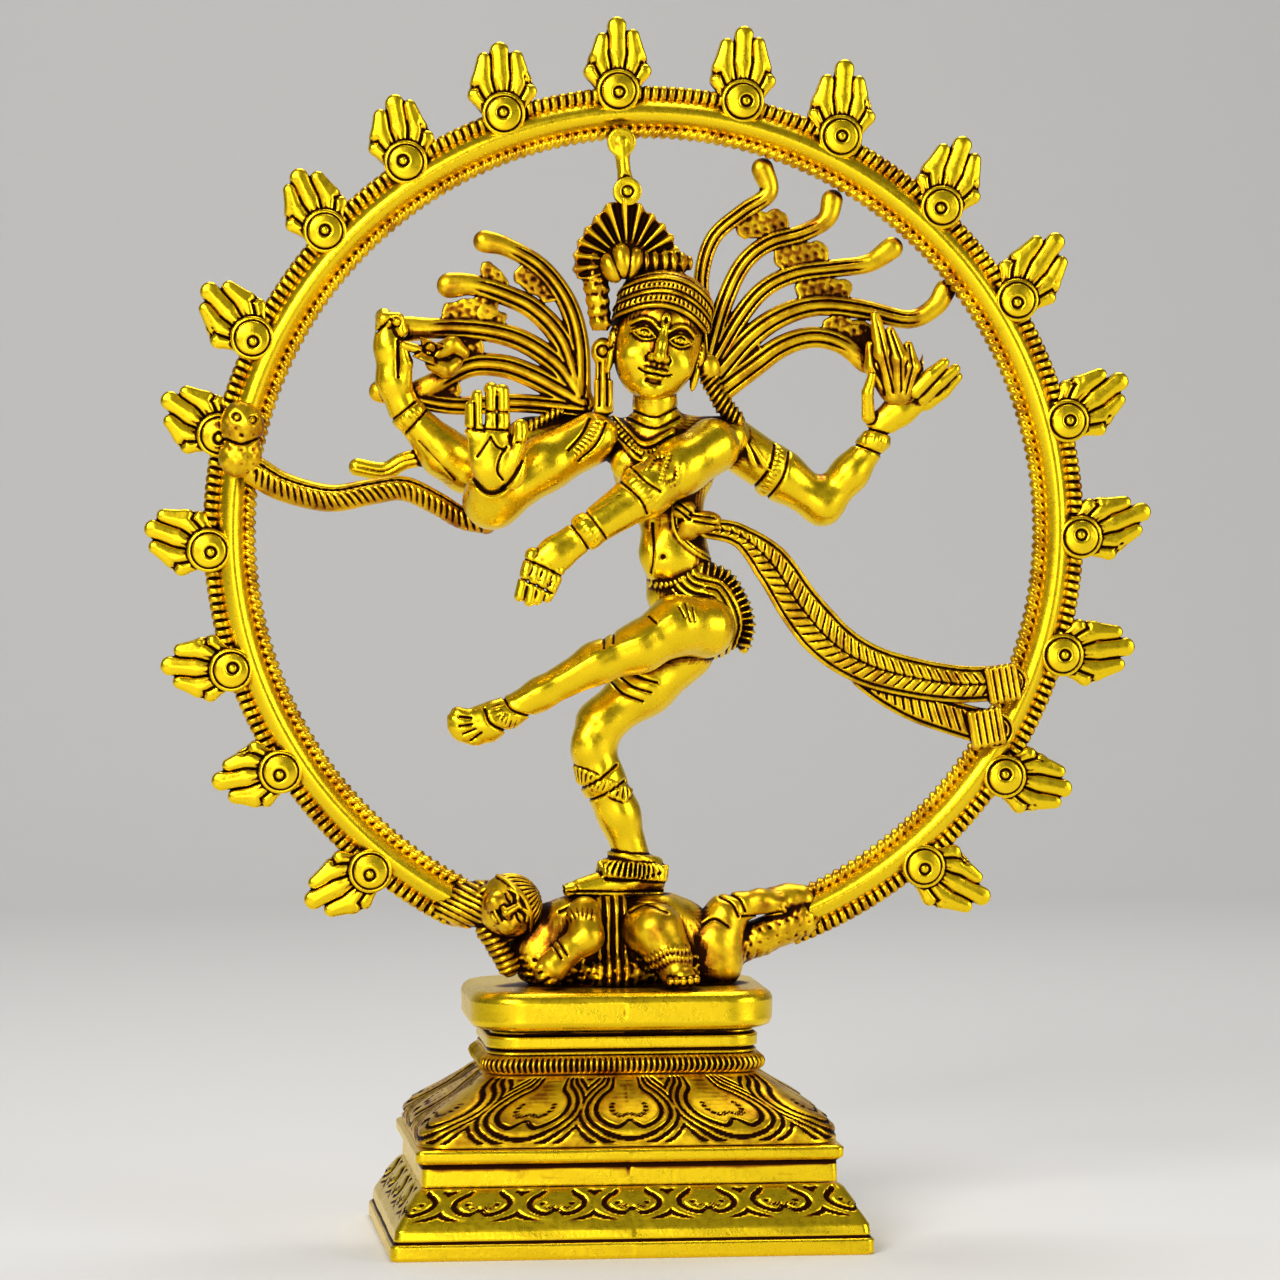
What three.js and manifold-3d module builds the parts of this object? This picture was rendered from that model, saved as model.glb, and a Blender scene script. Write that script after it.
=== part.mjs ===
// Brass dancing figure in a ring of flames, on a stepped lotus pedestal.
// Millimetres, +Z up. The figure faces -Y and the origin is on the table, under the middle of the statue.
import * as THREE from "three";
import { mergeVertices } from "three/addons/utils/BufferGeometryUtils.js";
import Module from "manifold-3d";

const wasm = await Module();
wasm.setup();

// ---- driving dimensions -------------------------------------------------------------------------
const GAP = 0.3;
const RING_CENTRE_Z = 117.2;
const RING_END_RIGHT = -67.5;
const RING_END_LEFT = 242.5;
const RING_STEPS = 56;
const BAR_RADIUS = 69;
const BAR_HALF_WIDTH = 2.35;
const BAR_BACK = 2.2;
const BAR_RIDGE = 2.6;
const ROPE_HALF_DEPTH = 1.1;
const INNER_ROPE_RADIUS = 65.35;
const INNER_ROPE_HALF_WIDTH = 0.9;
const OUTER_ROPE_RADIUS = 72.8;
const OUTER_ROPE_HALF_WIDTH = 1.1;

// Where the flames sit round the ring, in degrees from +X, right foot to left foot, set by hand.
const FLAME_ANGLES = [-51, -35, -17.5, -2, 13.5, 31, 47, 63.5, 77.5, 94, 109.5, 124, 138, 155, 168.5, 183.5, 199, 213.5, 231];
const FLAME_FOOT_RADIUS = 74.3;
const FLAME_HEIGHT = 10.2;
const FLAME_TOP_EXTRA = 2.1;
const FLAME_LEAN = 17;
const FLAME_HALF_WIDTH = 4.6;
const FLAME_BACK = 1;
const FLAME_FRONT = -2.4;
const BOSS_RADIUS = 2.6;
const BOSS_BACK = -1.4;
const BOSS_FRONT = -3.4;

const PEDESTAL_X = -5.3;
const FOOT_HALF = [39.4, 28];
const FOOT_EDGE_TOP = 5;
const SKIRT_TOP = 11;
const RISER_HALF = [34, 22.6];
const RISER_TOP = 15;
const PLATE_HALF = [35, 23.6];
const PLATE_TOP = 17.3;
const CONE_FOOT_HALF = [34.4, 23];
const CONE_NECK_HALF = [22.4, 14.6];
const CONE_TOP = 28.2;
const BEAD_HALF = [23.4, 15.4];
const BEAD_TOP = 31.4;
const NECK_HALF = [22.5, 14.7];
const NECK_TOP = 35.4;
const SLAB_HALF = [25, 17.2];
const SLAB_TOP = 42;
const WALL = 3;
const STUD_RADIUS = 2;
const STUD_END = 23.5;

const LIMB_SIDES = 8;
const ROUND_END = 0.35;
const HAIR_Y = 1.8;

// ---- solids ---------------------------------------------------------------------------------------
function volumeOf(position, triangles) {
  const a = new THREE.Vector3();
  const b = new THREE.Vector3();
  const c = new THREE.Vector3();
  let total = 0;
  for (let i = 0; i < triangles.length; i += 3) {
    a.fromBufferAttribute(position, triangles[i]);
    b.fromBufferAttribute(position, triangles[i + 1]);
    c.fromBufferAttribute(position, triangles[i + 2]);
    total += a.dot(b.cross(c));
  }
  return total;
}

function toSolid(geometry) {
  const bare = new THREE.BufferGeometry();
  bare.setAttribute("position", geometry.getAttribute("position"));
  bare.setIndex(geometry.getIndex());
  const merged = mergeVertices(bare, 1e-4);
  const index = merged.getIndex().array;
  let triangles = [];
  for (let i = 0; i < index.length; i += 3) {
    const [a, b, c] = [index[i], index[i + 1], index[i + 2]];
    if (a !== b && b !== c && c !== a) triangles.push(a, b, c);
  }
  const position = merged.getAttribute("position");
  if (volumeOf(position, triangles) < 0) triangles = triangles.reverse();
  return new wasm.Manifold(new wasm.Mesh({
    numProp: 3,
    vertProperties: new Float32Array(position.array),
    triVerts: new Uint32Array(triangles),
  }));
}

function toGeometry(solid) {
  const mesh = solid.getMesh();
  const geometry = new THREE.BufferGeometry();
  geometry.setAttribute("position", new THREE.Float32BufferAttribute(Array.from(mesh.vertProperties), 3));
  geometry.setIndex(Array.from(mesh.triVerts));
  geometry.computeVertexNormals();
  return geometry;
}

function joined(solids) {
  return solids.reduce((whole, solid) => whole.add(solid));
}

// An egg of three radii.
function egg(x, y, z, radiusX, radiusY, radiusZ, grow = 0) {
  const geometry = new THREE.SphereGeometry(1, 10, 6);
  geometry.rotateX(Math.PI / 2);
  geometry.scale(radiusX + grow, radiusY + grow, radiusZ + grow);
  geometry.translate(x, y, z);
  return toSolid(geometry);
}

// A tapered bar with round ends between two [x, y, z, radius] points.
function taperedBar(from, to, grow) {
  const start = new THREE.Vector3(from[0], from[1], from[2]);
  const end = new THREE.Vector3(to[0], to[1], to[2]);
  const length = start.distanceTo(end);
  const startRadius = from[3] + grow;
  const endRadius = to[3] + grow;
  const profile = [
    new THREE.Vector2(0, -startRadius),
    new THREE.Vector2(startRadius, -startRadius * ROUND_END),
    new THREE.Vector2(endRadius, length + endRadius * ROUND_END),
    new THREE.Vector2(0, length + endRadius),
  ];
  const geometry = new THREE.LatheGeometry(profile, LIMB_SIDES);
  const direction = end.clone().sub(start).normalize();
  geometry.applyQuaternion(new THREE.Quaternion().setFromUnitVectors(new THREE.Vector3(0, 1, 0), direction));
  geometry.translate(start.x, start.y, start.z);
  return toSolid(geometry);
}

// A limb through a list of [x, y, z, radius] points.
function limb(points, grow = 0) {
  const bars = [];
  for (let i = 0; i + 1 < points.length; i += 1) bars.push(taperedBar(points[i], points[i + 1], grow));
  return joined(bars);
}

// A flat strip, wide in the plane of the ring, swept through a list of [x, y, z] points.
function strip(points, width, thickness, steps, grow = 0) {
  const curve = new THREE.CatmullRomCurve3(points.map((point) => new THREE.Vector3(...point)), false, "centripetal");
  const halfWidth = width / 2 + grow;
  const halfThickness = thickness / 2 + grow;
  const section = new THREE.Shape();
  section.moveTo(-halfThickness, -halfWidth);
  section.lineTo(halfThickness, -halfWidth);
  section.lineTo(halfThickness, halfWidth);
  section.lineTo(-halfThickness, halfWidth);
  return toSolid(new THREE.ExtrudeGeometry(section, { steps, extrudePath: curve }));
}

// A plate cut from an outline in the X-Z plane, from its front to its back.
function plate(outline, front, back, curveSegments = 4) {
  const geometry = new THREE.ExtrudeGeometry(outline, { depth: back - front, bevelEnabled: false, curveSegments });
  geometry.rotateX(Math.PI / 2);
  geometry.translate(0, back, 0);
  return toSolid(geometry);
}

// ---- ring -----------------------------------------------------------------------------------------
class RingArc extends THREE.Curve {
  constructor(radius) {
    super();
    this.radius = radius;
  }
  getPoint(t, target = new THREE.Vector3()) {
    const angle = THREE.MathUtils.degToRad(THREE.MathUtils.lerp(RING_END_RIGHT, RING_END_LEFT, t));
    return target.set(this.radius * Math.cos(angle), 0, RING_CENTRE_Z + this.radius * Math.sin(angle));
  }
}

function sweptRound(radius, section) {
  return toSolid(new THREE.ExtrudeGeometry(section, { steps: RING_STEPS, extrudePath: new RingArc(radius) }));
}

function ringBar(grow = 0) {
  const half = BAR_HALF_WIDTH + grow;
  const shoulder = 0.9 + grow;
  const section = new THREE.Shape();
  section.moveTo(-BAR_BACK - grow, -half);
  section.lineTo(shoulder, -half);
  section.lineTo(BAR_RIDGE + grow, 0);
  section.lineTo(shoulder, half);
  section.lineTo(-BAR_BACK - grow, half);
  return sweptRound(BAR_RADIUS, section);
}

function rope(radius, halfWidth, grow = 0) {
  const half = halfWidth + grow;
  const depth = ROPE_HALF_DEPTH + grow;
  const section = new THREE.Shape();
  section.moveTo(-depth, -half);
  section.lineTo(depth, -half);
  section.lineTo(depth, half);
  section.lineTo(-depth, half);
  return sweptRound(radius, section);
}

const innerRope = (grow = 0) => rope(INNER_ROPE_RADIUS, INNER_ROPE_HALF_WIDTH, grow);
const outerRope = (grow = 0) => rope(OUTER_ROPE_RADIUS, OUTER_ROPE_HALF_WIDTH, grow);

// ---- flames ---------------------------------------------------------------------------------------
// A fan of five tongues; the foot is at the middle of the round boss, and the middle tongue is longest.
function flameOutline(height) {
  const outline = new THREE.Shape();
  outline.moveTo(-2.6, 0.5);
  outline.quadraticCurveTo(-FLAME_HALF_WIDTH, 2, -FLAME_HALF_WIDTH, height * 0.5);
  outline.lineTo(-FLAME_HALF_WIDTH * 0.75, height * 0.56);
  outline.quadraticCurveTo(-FLAME_HALF_WIDTH * 0.7, height * 0.8, -FLAME_HALF_WIDTH * 0.4, height * 0.87);
  outline.lineTo(-FLAME_HALF_WIDTH * 0.28, height * 0.84);
  outline.quadraticCurveTo(0, height * 1.08, FLAME_HALF_WIDTH * 0.28, height * 0.84);
  outline.lineTo(FLAME_HALF_WIDTH * 0.4, height * 0.87);
  outline.quadraticCurveTo(FLAME_HALF_WIDTH * 0.7, height * 0.8, FLAME_HALF_WIDTH * 0.75, height * 0.56);
  outline.lineTo(FLAME_HALF_WIDTH, height * 0.5);
  outline.quadraticCurveTo(FLAME_HALF_WIDTH, 2, 2.6, 0.5);
  return outline;
}

function flameBoss() {
  const geometry = new THREE.CylinderGeometry(BOSS_RADIUS, BOSS_RADIUS, BOSS_BACK - BOSS_FRONT, 10);
  geometry.translate(0, (BOSS_BACK + BOSS_FRONT) / 2, 0);
  return toSolid(geometry);
}

function flame(height) {
  return joined([plate(flameOutline(height), FLAME_FRONT, FLAME_BACK, 2), flameBoss()]);
}

// ---- pedestal -------------------------------------------------------------------------------------
// A moulding whose rows are rounded rectangles: half sizes in X and Y, corner radius and height.
// The corners are columns of a lathe, moved out to the corners of the rectangle.
function moulding(rows, cornerSteps = 3) {
  const columns = cornerSteps + 1;
  const profile = rows.map((row) => new THREE.Vector2(1, row.z));
  const geometry = new THREE.LatheGeometry(profile, columns * 4);
  const position = geometry.getAttribute("position");
  for (let column = 0; column <= columns * 4; column += 1) {
    const corner = Math.floor(column / columns) % 4;
    const angle = (corner + (column % columns) / cornerSteps) * Math.PI / 2;
    const sideX = corner === 0 || corner === 3 ? 1 : -1;
    const sideY = corner < 2 ? 1 : -1;
    rows.forEach((row, i) => {
      const x = sideX * Math.max(row.x - row.round, 0) + row.round * Math.cos(angle);
      const y = sideY * Math.max(row.y - row.round, 0) + row.round * Math.sin(angle);
      position.setXYZ(column * rows.length + i, PEDESTAL_X + x, y, row.z);
    });
  }
  return toSolid(geometry);
}

const row = (half, round, z, inset = 0) => ({
  x: half[0] - inset,
  y: half[1] - inset,
  round: Math.max(round - inset, 0.4),
  z,
});
const bore = (radius, z) => ({ x: radius, y: radius, round: radius, z });

function pedestalFoot() {
  const waist = [FOOT_HALF[0] - 2.2, FOOT_HALF[1] - 2.2];
  return moulding([
    row(FOOT_HALF, 1, 0),
    row(FOOT_HALF, 1, FOOT_EDGE_TOP * 0.55),
    row(FOOT_HALF, 1, FOOT_EDGE_TOP, 1),
    row(waist, 1, 8),
    row(RISER_HALF, 1, SKIRT_TOP, -0.4),
    row(RISER_HALF, 1, SKIRT_TOP, WALL),
    row(FOOT_HALF, 1, 0, WALL),
    row(FOOT_HALF, 1, 0),
  ], 1);
}

function pedestalRiser() {
  return moulding([
    row(RISER_HALF, 1, SKIRT_TOP + GAP),
    row(RISER_HALF, 1, RISER_TOP),
    row(PLATE_HALF, 1, RISER_TOP),
    row(PLATE_HALF, 1, PLATE_TOP),
    row(PLATE_HALF, 1, PLATE_TOP, WALL + 1),
    row(RISER_HALF, 1, SKIRT_TOP + GAP, WALL),
    row(RISER_HALF, 1, SKIRT_TOP + GAP),
  ], 1);
}

function lotusCone() {
  const blend = (t) => [
    THREE.MathUtils.lerp(CONE_FOOT_HALF[0], CONE_NECK_HALF[0], t),
    THREE.MathUtils.lerp(CONE_FOOT_HALF[1], CONE_NECK_HALF[1], t),
  ];
  const foot = PLATE_TOP + GAP;
  return moulding([
    row(CONE_FOOT_HALF, 5, foot),
    row(CONE_FOOT_HALF, 5, foot + 2.4),
    row(blend(0.3), 5, foot + 4.6),
    row(blend(0.7), 5, foot + 7.8),
    row(CONE_NECK_HALF, 5, CONE_TOP),
    row(CONE_NECK_HALF, 5, CONE_TOP, WALL),
    row(CONE_FOOT_HALF, 5, foot, WALL + 1),
    row(CONE_FOOT_HALF, 5, foot),
  ], 3);
}

function beadRing() {
  const foot = CONE_TOP + GAP;
  return moulding([
    row(BEAD_HALF, 5, foot, 0.6),
    row(BEAD_HALF, 5, (foot + BEAD_TOP) / 2),
    row(BEAD_HALF, 5, BEAD_TOP, 0.6),
    row(BEAD_HALF, 5, BEAD_TOP, WALL + 1),
    row(BEAD_HALF, 5, foot, WALL + 1),
    row(BEAD_HALF, 5, foot, 0.6),
  ], 3);
}

function pedestalNeck() {
  const foot = BEAD_TOP + GAP;
  const hole = STUD_RADIUS + GAP;
  return moulding([
    bore(hole, foot),
    row(NECK_HALF, 5, foot),
    row(NECK_HALF, 5, (foot + NECK_TOP) / 2, 0.6),
    row(NECK_HALF, 5, NECK_TOP),
    bore(hole, NECK_TOP),
    bore(hole, foot),
  ], 3);
}

function pedestalSlab(grow = 0) {
  const foot = NECK_TOP + GAP;
  const hole = STUD_RADIUS + GAP;
  return moulding([
    bore(hole, foot),
    row(SLAB_HALF, 6, foot, 0.8),
    row(SLAB_HALF, 6, foot + 1.4),
    row(SLAB_HALF, 6, SLAB_TOP - 1.4),
    row(SLAB_HALF, 6, SLAB_TOP + grow, 1.4),
    bore(hole, SLAB_TOP + grow),
    bore(hole, foot),
  ], 3);
}

// ---- fixings under the pedestal -------------------------------------------------------------------
function fixingStud() {
  const geometry = new THREE.CylinderGeometry(STUD_RADIUS, STUD_RADIUS, SLAB_TOP - STUD_END, 14);
  geometry.rotateX(Math.PI / 2);
  geometry.translate(PEDESTAL_X, 0, (SLAB_TOP + STUD_END) / 2);
  return toSolid(geometry);
}

function fixingWasher() {
  const top = BEAD_TOP;
  const hole = STUD_RADIUS + GAP;
  return moulding([bore(hole, top), bore(hole, top - 0.9), bore(4.6, top - 0.9), bore(4.6, top), bore(hole, top)], 3);
}

function fixingNut() {
  const top = BEAD_TOP - 0.9 - GAP;
  const outline = new THREE.Shape();
  for (let corner = 0; corner < 6; corner += 1) {
    const angle = corner * Math.PI / 3;
    const [x, y] = [4 * Math.cos(angle), 4 * Math.sin(angle)];
    if (corner === 0) outline.moveTo(x, y);
    else outline.lineTo(x, y);
  }
  outline.closePath();
  const hole = new THREE.Path();
  hole.absarc(0, 0, STUD_RADIUS + GAP, 0, Math.PI * 2, true);
  outline.holes.push(hole);
  const geometry = new THREE.ExtrudeGeometry(outline, { depth: 3.2, bevelEnabled: false, curveSegments: 8 });
  geometry.translate(PEDESTAL_X, 0, top - 3.2);
  return toSolid(geometry);
}

// ---- dwarf under the dancer's foot ----------------------------------------------------------------
const dwarfBody = (grow = 0) => limb([[-13, -0.5, 49.6, 6.2], [-4, -1, 50.2, 6.9], [3.5, -0.5, 50, 6.8]], grow);
const dwarfHead = (grow = 0) => joined([
  egg(-22.7, -3, 53.8, 5.3, 5, 5.2, grow),
  egg(-27, 0, 53, 4.2, 4.4, 4.6, grow),
]);
const dwarfArm = (grow = 0) => limb(
  [[-10, -7, 53, 2.7], [-8.6, -9.4, 47.8, 2.6], [-14, -10, 45.6, 2.2], [-17.5, -10, 45, 2.3]], grow);
const dwarfBentLeg = (grow = 0) => limb(
  [[-1, -6, 50, 4.4], [1.2, -8.6, 51.6, 4.2], [4, -9.6, 46.6, 3.2], [6, -13.2, 44.6, 2.2]], grow);
const dwarfFarLeg = (grow = 0) => limb(
  [[7.5, -0.5, 48.4, 4.6], [12, -1.6, 48.2, 4.8], [14.4, -1.6, 52.6, 3.2], [20.5, -1.6, 54.4, 2.2]], grow);

// ---- dancer ---------------------------------------------------------------------------------------
const torso = (grow = 0) => joined([
  limb([[5, -0.6, 110.5, 5], [3.6, -1, 122, 5.8]], grow),
  egg(3, -1, 129.5, 9.6, 5.8, 7, grow),
  limb([[-6.5, -0.6, 132.6, 3.6], [12.6, -0.6, 132.6, 3.6]], grow),
  limb([[1.5, -1.4, 134, 3.6], [1.4, -2, 139.5, 3.3]], grow),
]);
const hips = (grow = 0) => joined([
  egg(8, -0.4, 102.6, 9, 6.4, 6.8, grow),
  limb([[6, -0.6, 106.5, 6], [9.5, -0.4, 101, 6.6]], grow),
]);
const standingLeg = (grow = 0) => joined([
  limb([[8.6, -0.6, 97.5, 5], [2, -1.6, 91, 4.6], [-8.4, -3.4, 83, 3.6], [-6.4, -2.6, 74, 3.5], [-2, -1.8, 62.4, 2.7]], grow),
  limb([[0.4, -1.4, 60, 2.3], [-4.4, -2.4, 60, 2.4], [-10.4, -3.8, 59.2, 1.5]], grow),
]);
const liftedLeg = (grow = 0) => limb(
  [[10, -4.6, 101, 5.4], [3, -8.6, 102.2, 5], [-9.5, -10.4, 96.3, 3.6], [-22.4, -11, 89.6, 2.5],
    [-25.6, -11, 86.4, 2.5], [-31, -12, 83, 1.7]], grow);
const head = (grow = 0) => egg(1.3, -3.2, 147.4, 7.1, 7, 8.2, grow);
const diadem = (grow = 0) => egg(1.2, -2.4, 156, 9, 8, 5.4, grow);

function crest() {
  const outline = new THREE.Shape();
  outline.moveTo(-9.4, 158);
  outline.quadraticCurveTo(-12, 164, -8.2, 167.6);
  outline.quadraticCurveTo(-5.4, 169.6, -4.2, 172.4);
  outline.quadraticCurveTo(-1.6, 168.6, 1.4, 167);
  outline.quadraticCurveTo(5, 163, 5.4, 158);
  return plate(outline, -5.4, -0.4);
}

const crestStrap = (grow = 0) => limb([[-4.6, -2.6, 181.2, 1.9], [-4.4, -2.6, 177, 1.2], [-3.8, -3.2, 173, 1.8]], grow);
const frontLeftArm = (grow = 0) => joined([
  limb([[11.4, -2.6, 132.4, 5], [1, -8.8, 126, 4], [-9.8, -13, 117.2, 3]], grow),
  limb([[-9.8, -13, 117.2, 2.6], [-17, -13.6, 112, 3.2], [-20.4, -13.6, 106.4, 1.9]], grow),
]);
const rearLeftArm = (grow = 0) => limb(
  [[14.4, 2.4, 131.6, 4.4], [22.4, 2.6, 125.4, 3.9], [29.4, 2.6, 120.8, 3.3], [36.7, 1.4, 133.2, 2.4],
    [40, 0.6, 139, 2.5], [45.5, 0.2, 141.2, 2.1], [51, 0, 143.6, 1.3]], grow);
const frontRightArm = (grow = 0) => limb(
  [[-7.4, -3, 132.4, 4.2], [-17, -4.6, 128, 3.9], [-25.4, -6, 122.8, 3.6], [-26, -9.6, 131, 3.6], [-26.2, -11, 139.6, 2.4]],
  grow);
const rearRightArm = (grow = 0) => joined([
  limb([[-8, 3.2, 131, 3.6], [-27.6, 3, 123.6, 3.4], [-38.3, 0.6, 135.3, 2.6], [-42, -0.6, 146, 2.3], [-43.2, -0.6, 152.4, 1.7]],
    grow),
  limb([[-36, 2.6, 131, 1.4], [-48, 3, 127.8, 1]], grow),
]);
const handFire = (grow = 0) => limb([[39.5, -0.6, 143.4, 2], [37.6, -0.6, 147.6, 2.2], [36.3, -0.6, 151.8, 1]], grow);

function handDrum() {
  const profile = [[0, -3], [2.4, -3], [1, 0], [2.4, 3], [0, 3]].map(([radius, z]) => new THREE.Vector2(radius, z));
  const geometry = new THREE.LatheGeometry(profile, LIMB_SIDES);
  geometry.rotateZ(THREE.MathUtils.degToRad(-35));
  geometry.translate(-38.4, -2.6, 148.6);
  return toSolid(geometry);
}

const waistKnot = (grow = 0) => egg(8.6, -6, 118.4, 3.2, 2.2, 3, grow);
const leftEarPendant = (grow = 0) => limb([[10.6, -1.6, 143.6, 1.5], [14.2, -2, 138, 1.4]], grow);
const rightEarPendant = (grow = 0) => limb([[-8.2, -2.6, 150, 1.5], [-8.2, -3, 139, 1.4]], grow);

// Hair locks: flat strips that spread from a root behind the head, all in one plane.
function hairLocks(root, locks, width) {
  const inPlane = ([x, z]) => [x, HAIR_Y, z];
  const strips = locks.map((points) => strip([root, ...points].map(inPlane), width, 1.8, 8));
  return joined([egg(root[0], HAIR_Y, root[1], 3.2, 1.6, 4.4), ...strips]);
}

const hairRight = () => hairLocks([-10.5, 142.5], [
  [[-12.5, 154], [-18, 161.6], [-27.6, 165]],
  [[-15, 150.4], [-22, 156.6], [-33.4, 158]],
  [[-17, 147.4], [-27, 151.8], [-40.4, 150.8]],
  [[-19, 143.8], [-30, 147.4], [-44.6, 140]],
  [[-18, 139.6], [-30, 138.6]],
], 3.4);
const hairLeft = () => hairLocks([12.8, 141.5], [
  [[9.6, 152], [9.4, 161], [14, 168.4], [19.6, 172], [19.2, 178]],
  [[15, 153], [20, 161.4], [27.6, 165.4], [31, 173]],
  [[17, 151.6], [25, 158.4], [35.6, 160.6], [42.6, 165.4]],
  [[19, 149.4], [28, 154.2], [39, 152.6], [46.6, 153.6], [50, 158]],
  [[20, 146.4], [28.4, 149], [36.6, 144.6]],
], 3.2);

const serpentHead = (grow = 0) => joined([
  egg(-66.2, -4.2, 133.4, 3.6, 2.6, 4.8, grow),
  egg(-66, -4, 128, 3.4, 2.6, 3.4, grow),
]);
const serpentBody = (grow = 0) => limb(
  [[-62.4, -3.4, 125.2, 2.6], [-53, -3.4, 122.4, 2.3], [-42, -3, 124.4, 2.3], [-35, -2, 122.4, 2.2], [-30.6, -1.2, 120, 2]],
  grow);

function sash() {
  const main = strip(
    [[9, -6.4, 117.6], [16.5, -6, 116.6], [23.8, -5, 107.4], [30.6, -4.4, 98.8], [39, -4, 92.4], [50.3, -4, 89.8], [60.6, -4.2, 90.6]],
    7.6, 2, 22);
  const tail = strip([[31, -4.3, 97], [37, -4, 91], [45, -4, 87.4], [57, -4.2, 84.6]], 4.6, 1.8, 10);
  return joined([main, tail]);
}

// ---- materials ------------------------------------------------------------------------------------
const polishedBrass = () => new THREE.MeshStandardMaterial({ color: 0xe0ac26, roughness: 0.32, metalness: 1 });
const agedBrass = () => new THREE.MeshStandardMaterial({ color: 0xa87416, roughness: 0.5, metalness: 1 });
const plainSteel = () => new THREE.MeshStandardMaterial({ color: 0x9a9894, roughness: 0.45, metalness: 1 });

// ---- assembly -------------------------------------------------------------------------------------
const statue = new THREE.Group();

function addPiece(parent, name, solid, material) {
  const mesh = new THREE.Mesh(toGeometry(solid), material);
  mesh.name = name;
  parent.add(mesh);
  return mesh;
}

// A piece is cut back from each neighbour it meets, so that a thin seam stays between the two.
function fitted(build, neighbours) {
  return neighbours.reduce((solid, neighbour) => solid.subtract(neighbour(GAP)), build());
}

function addRing() {
  addPiece(statue, "ring_bar", ringBar(), polishedBrass());
  addPiece(statue, "ring_inner_rope", innerRope(), agedBrass());
  addPiece(statue, "ring_outer_rope", outerRope(), agedBrass());
  addPiece(statue, "crest_strap", fitted(crestStrap, [ringBar, innerRope]), polishedBrass());
}

function addFlames() {
  FLAME_ANGLES.forEach((degrees, i) => {
    const angle = THREE.MathUtils.degToRad(degrees);
    const holder = new THREE.Group();
    holder.position.set(FLAME_FOOT_RADIUS * Math.cos(angle), 0, RING_CENTRE_Z + FLAME_FOOT_RADIUS * Math.sin(angle));
    const height = FLAME_HEIGHT + FLAME_TOP_EXTRA * Math.max(Math.sin(angle), 0);
    const lean = THREE.MathUtils.degToRad(FLAME_LEAN) * Math.cos(angle);
    holder.rotation.y = Math.PI / 2 - angle - lean;
    statue.add(holder);
    const number = String(i + 1).padStart(2, "0");
    addPiece(holder, `flame_${number}`, flame(height), polishedBrass());
  });
}

function addPedestal() {
  addPiece(statue, "pedestal_foot", pedestalFoot(), polishedBrass());
  addPiece(statue, "pedestal_riser", pedestalRiser(), polishedBrass());
  addPiece(statue, "lotus_cone", lotusCone(), agedBrass());
  addPiece(statue, "bead_ring", beadRing(), agedBrass());
  addPiece(statue, "pedestal_neck", pedestalNeck(), polishedBrass());
  addPiece(statue, "pedestal_slab", pedestalSlab(), polishedBrass());
  addPiece(statue, "fixing_stud", fixingStud(), plainSteel());
  addPiece(statue, "fixing_washer", fixingWasher(), plainSteel());
  addPiece(statue, "fixing_nut", fixingNut(), plainSteel());
}

function addDwarf() {
  const ring = [ringBar, innerRope, outerRope];
  addPiece(statue, "dwarf_body", fitted(dwarfBody, [pedestalSlab]), agedBrass());
  addPiece(statue, "dwarf_head", fitted(dwarfHead, [...ring, dwarfBody]), agedBrass());
  addPiece(statue, "dwarf_bent_leg", fitted(dwarfBentLeg, [pedestalSlab, dwarfBody]), agedBrass());
  addPiece(statue, "dwarf_arm", fitted(dwarfArm, [pedestalSlab, dwarfBody, dwarfBentLeg, dwarfHead]), agedBrass());
  addPiece(statue, "dwarf_far_leg", fitted(dwarfFarLeg, [pedestalSlab, dwarfBody, dwarfBentLeg, ...ring]), agedBrass());
}

function addBody() {
  addPiece(statue, "torso", torso(), polishedBrass());
  addPiece(statue, "hips", fitted(hips, [torso]), polishedBrass());
  addPiece(statue, "lifted_leg", fitted(liftedLeg, [hips, torso]), polishedBrass());
  addPiece(statue, "standing_leg", fitted(standingLeg, [dwarfBody, dwarfBentLeg, hips, liftedLeg]), polishedBrass());
  addPiece(statue, "head", fitted(head, [torso]), polishedBrass());
  addPiece(statue, "diadem", fitted(diadem, [head]), agedBrass());
  addPiece(statue, "crest", fitted(crest, [diadem, head, crestStrap]), agedBrass());
}

function addArms() {
  addPiece(statue, "front_left_arm", fitted(frontLeftArm, [torso]), polishedBrass());
  addPiece(statue, "rear_left_arm", fitted(rearLeftArm, [torso, frontLeftArm]), polishedBrass());
  addPiece(statue, "front_right_arm", fitted(frontRightArm, [torso]), polishedBrass());
  addPiece(statue, "rear_right_arm", fitted(rearRightArm, [torso, frontRightArm]), polishedBrass());
  addPiece(statue, "hand_fire", fitted(handFire, [rearLeftArm]), agedBrass());
  addPiece(statue, "hand_drum", fitted(handDrum, [rearRightArm]), agedBrass());
}

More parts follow.
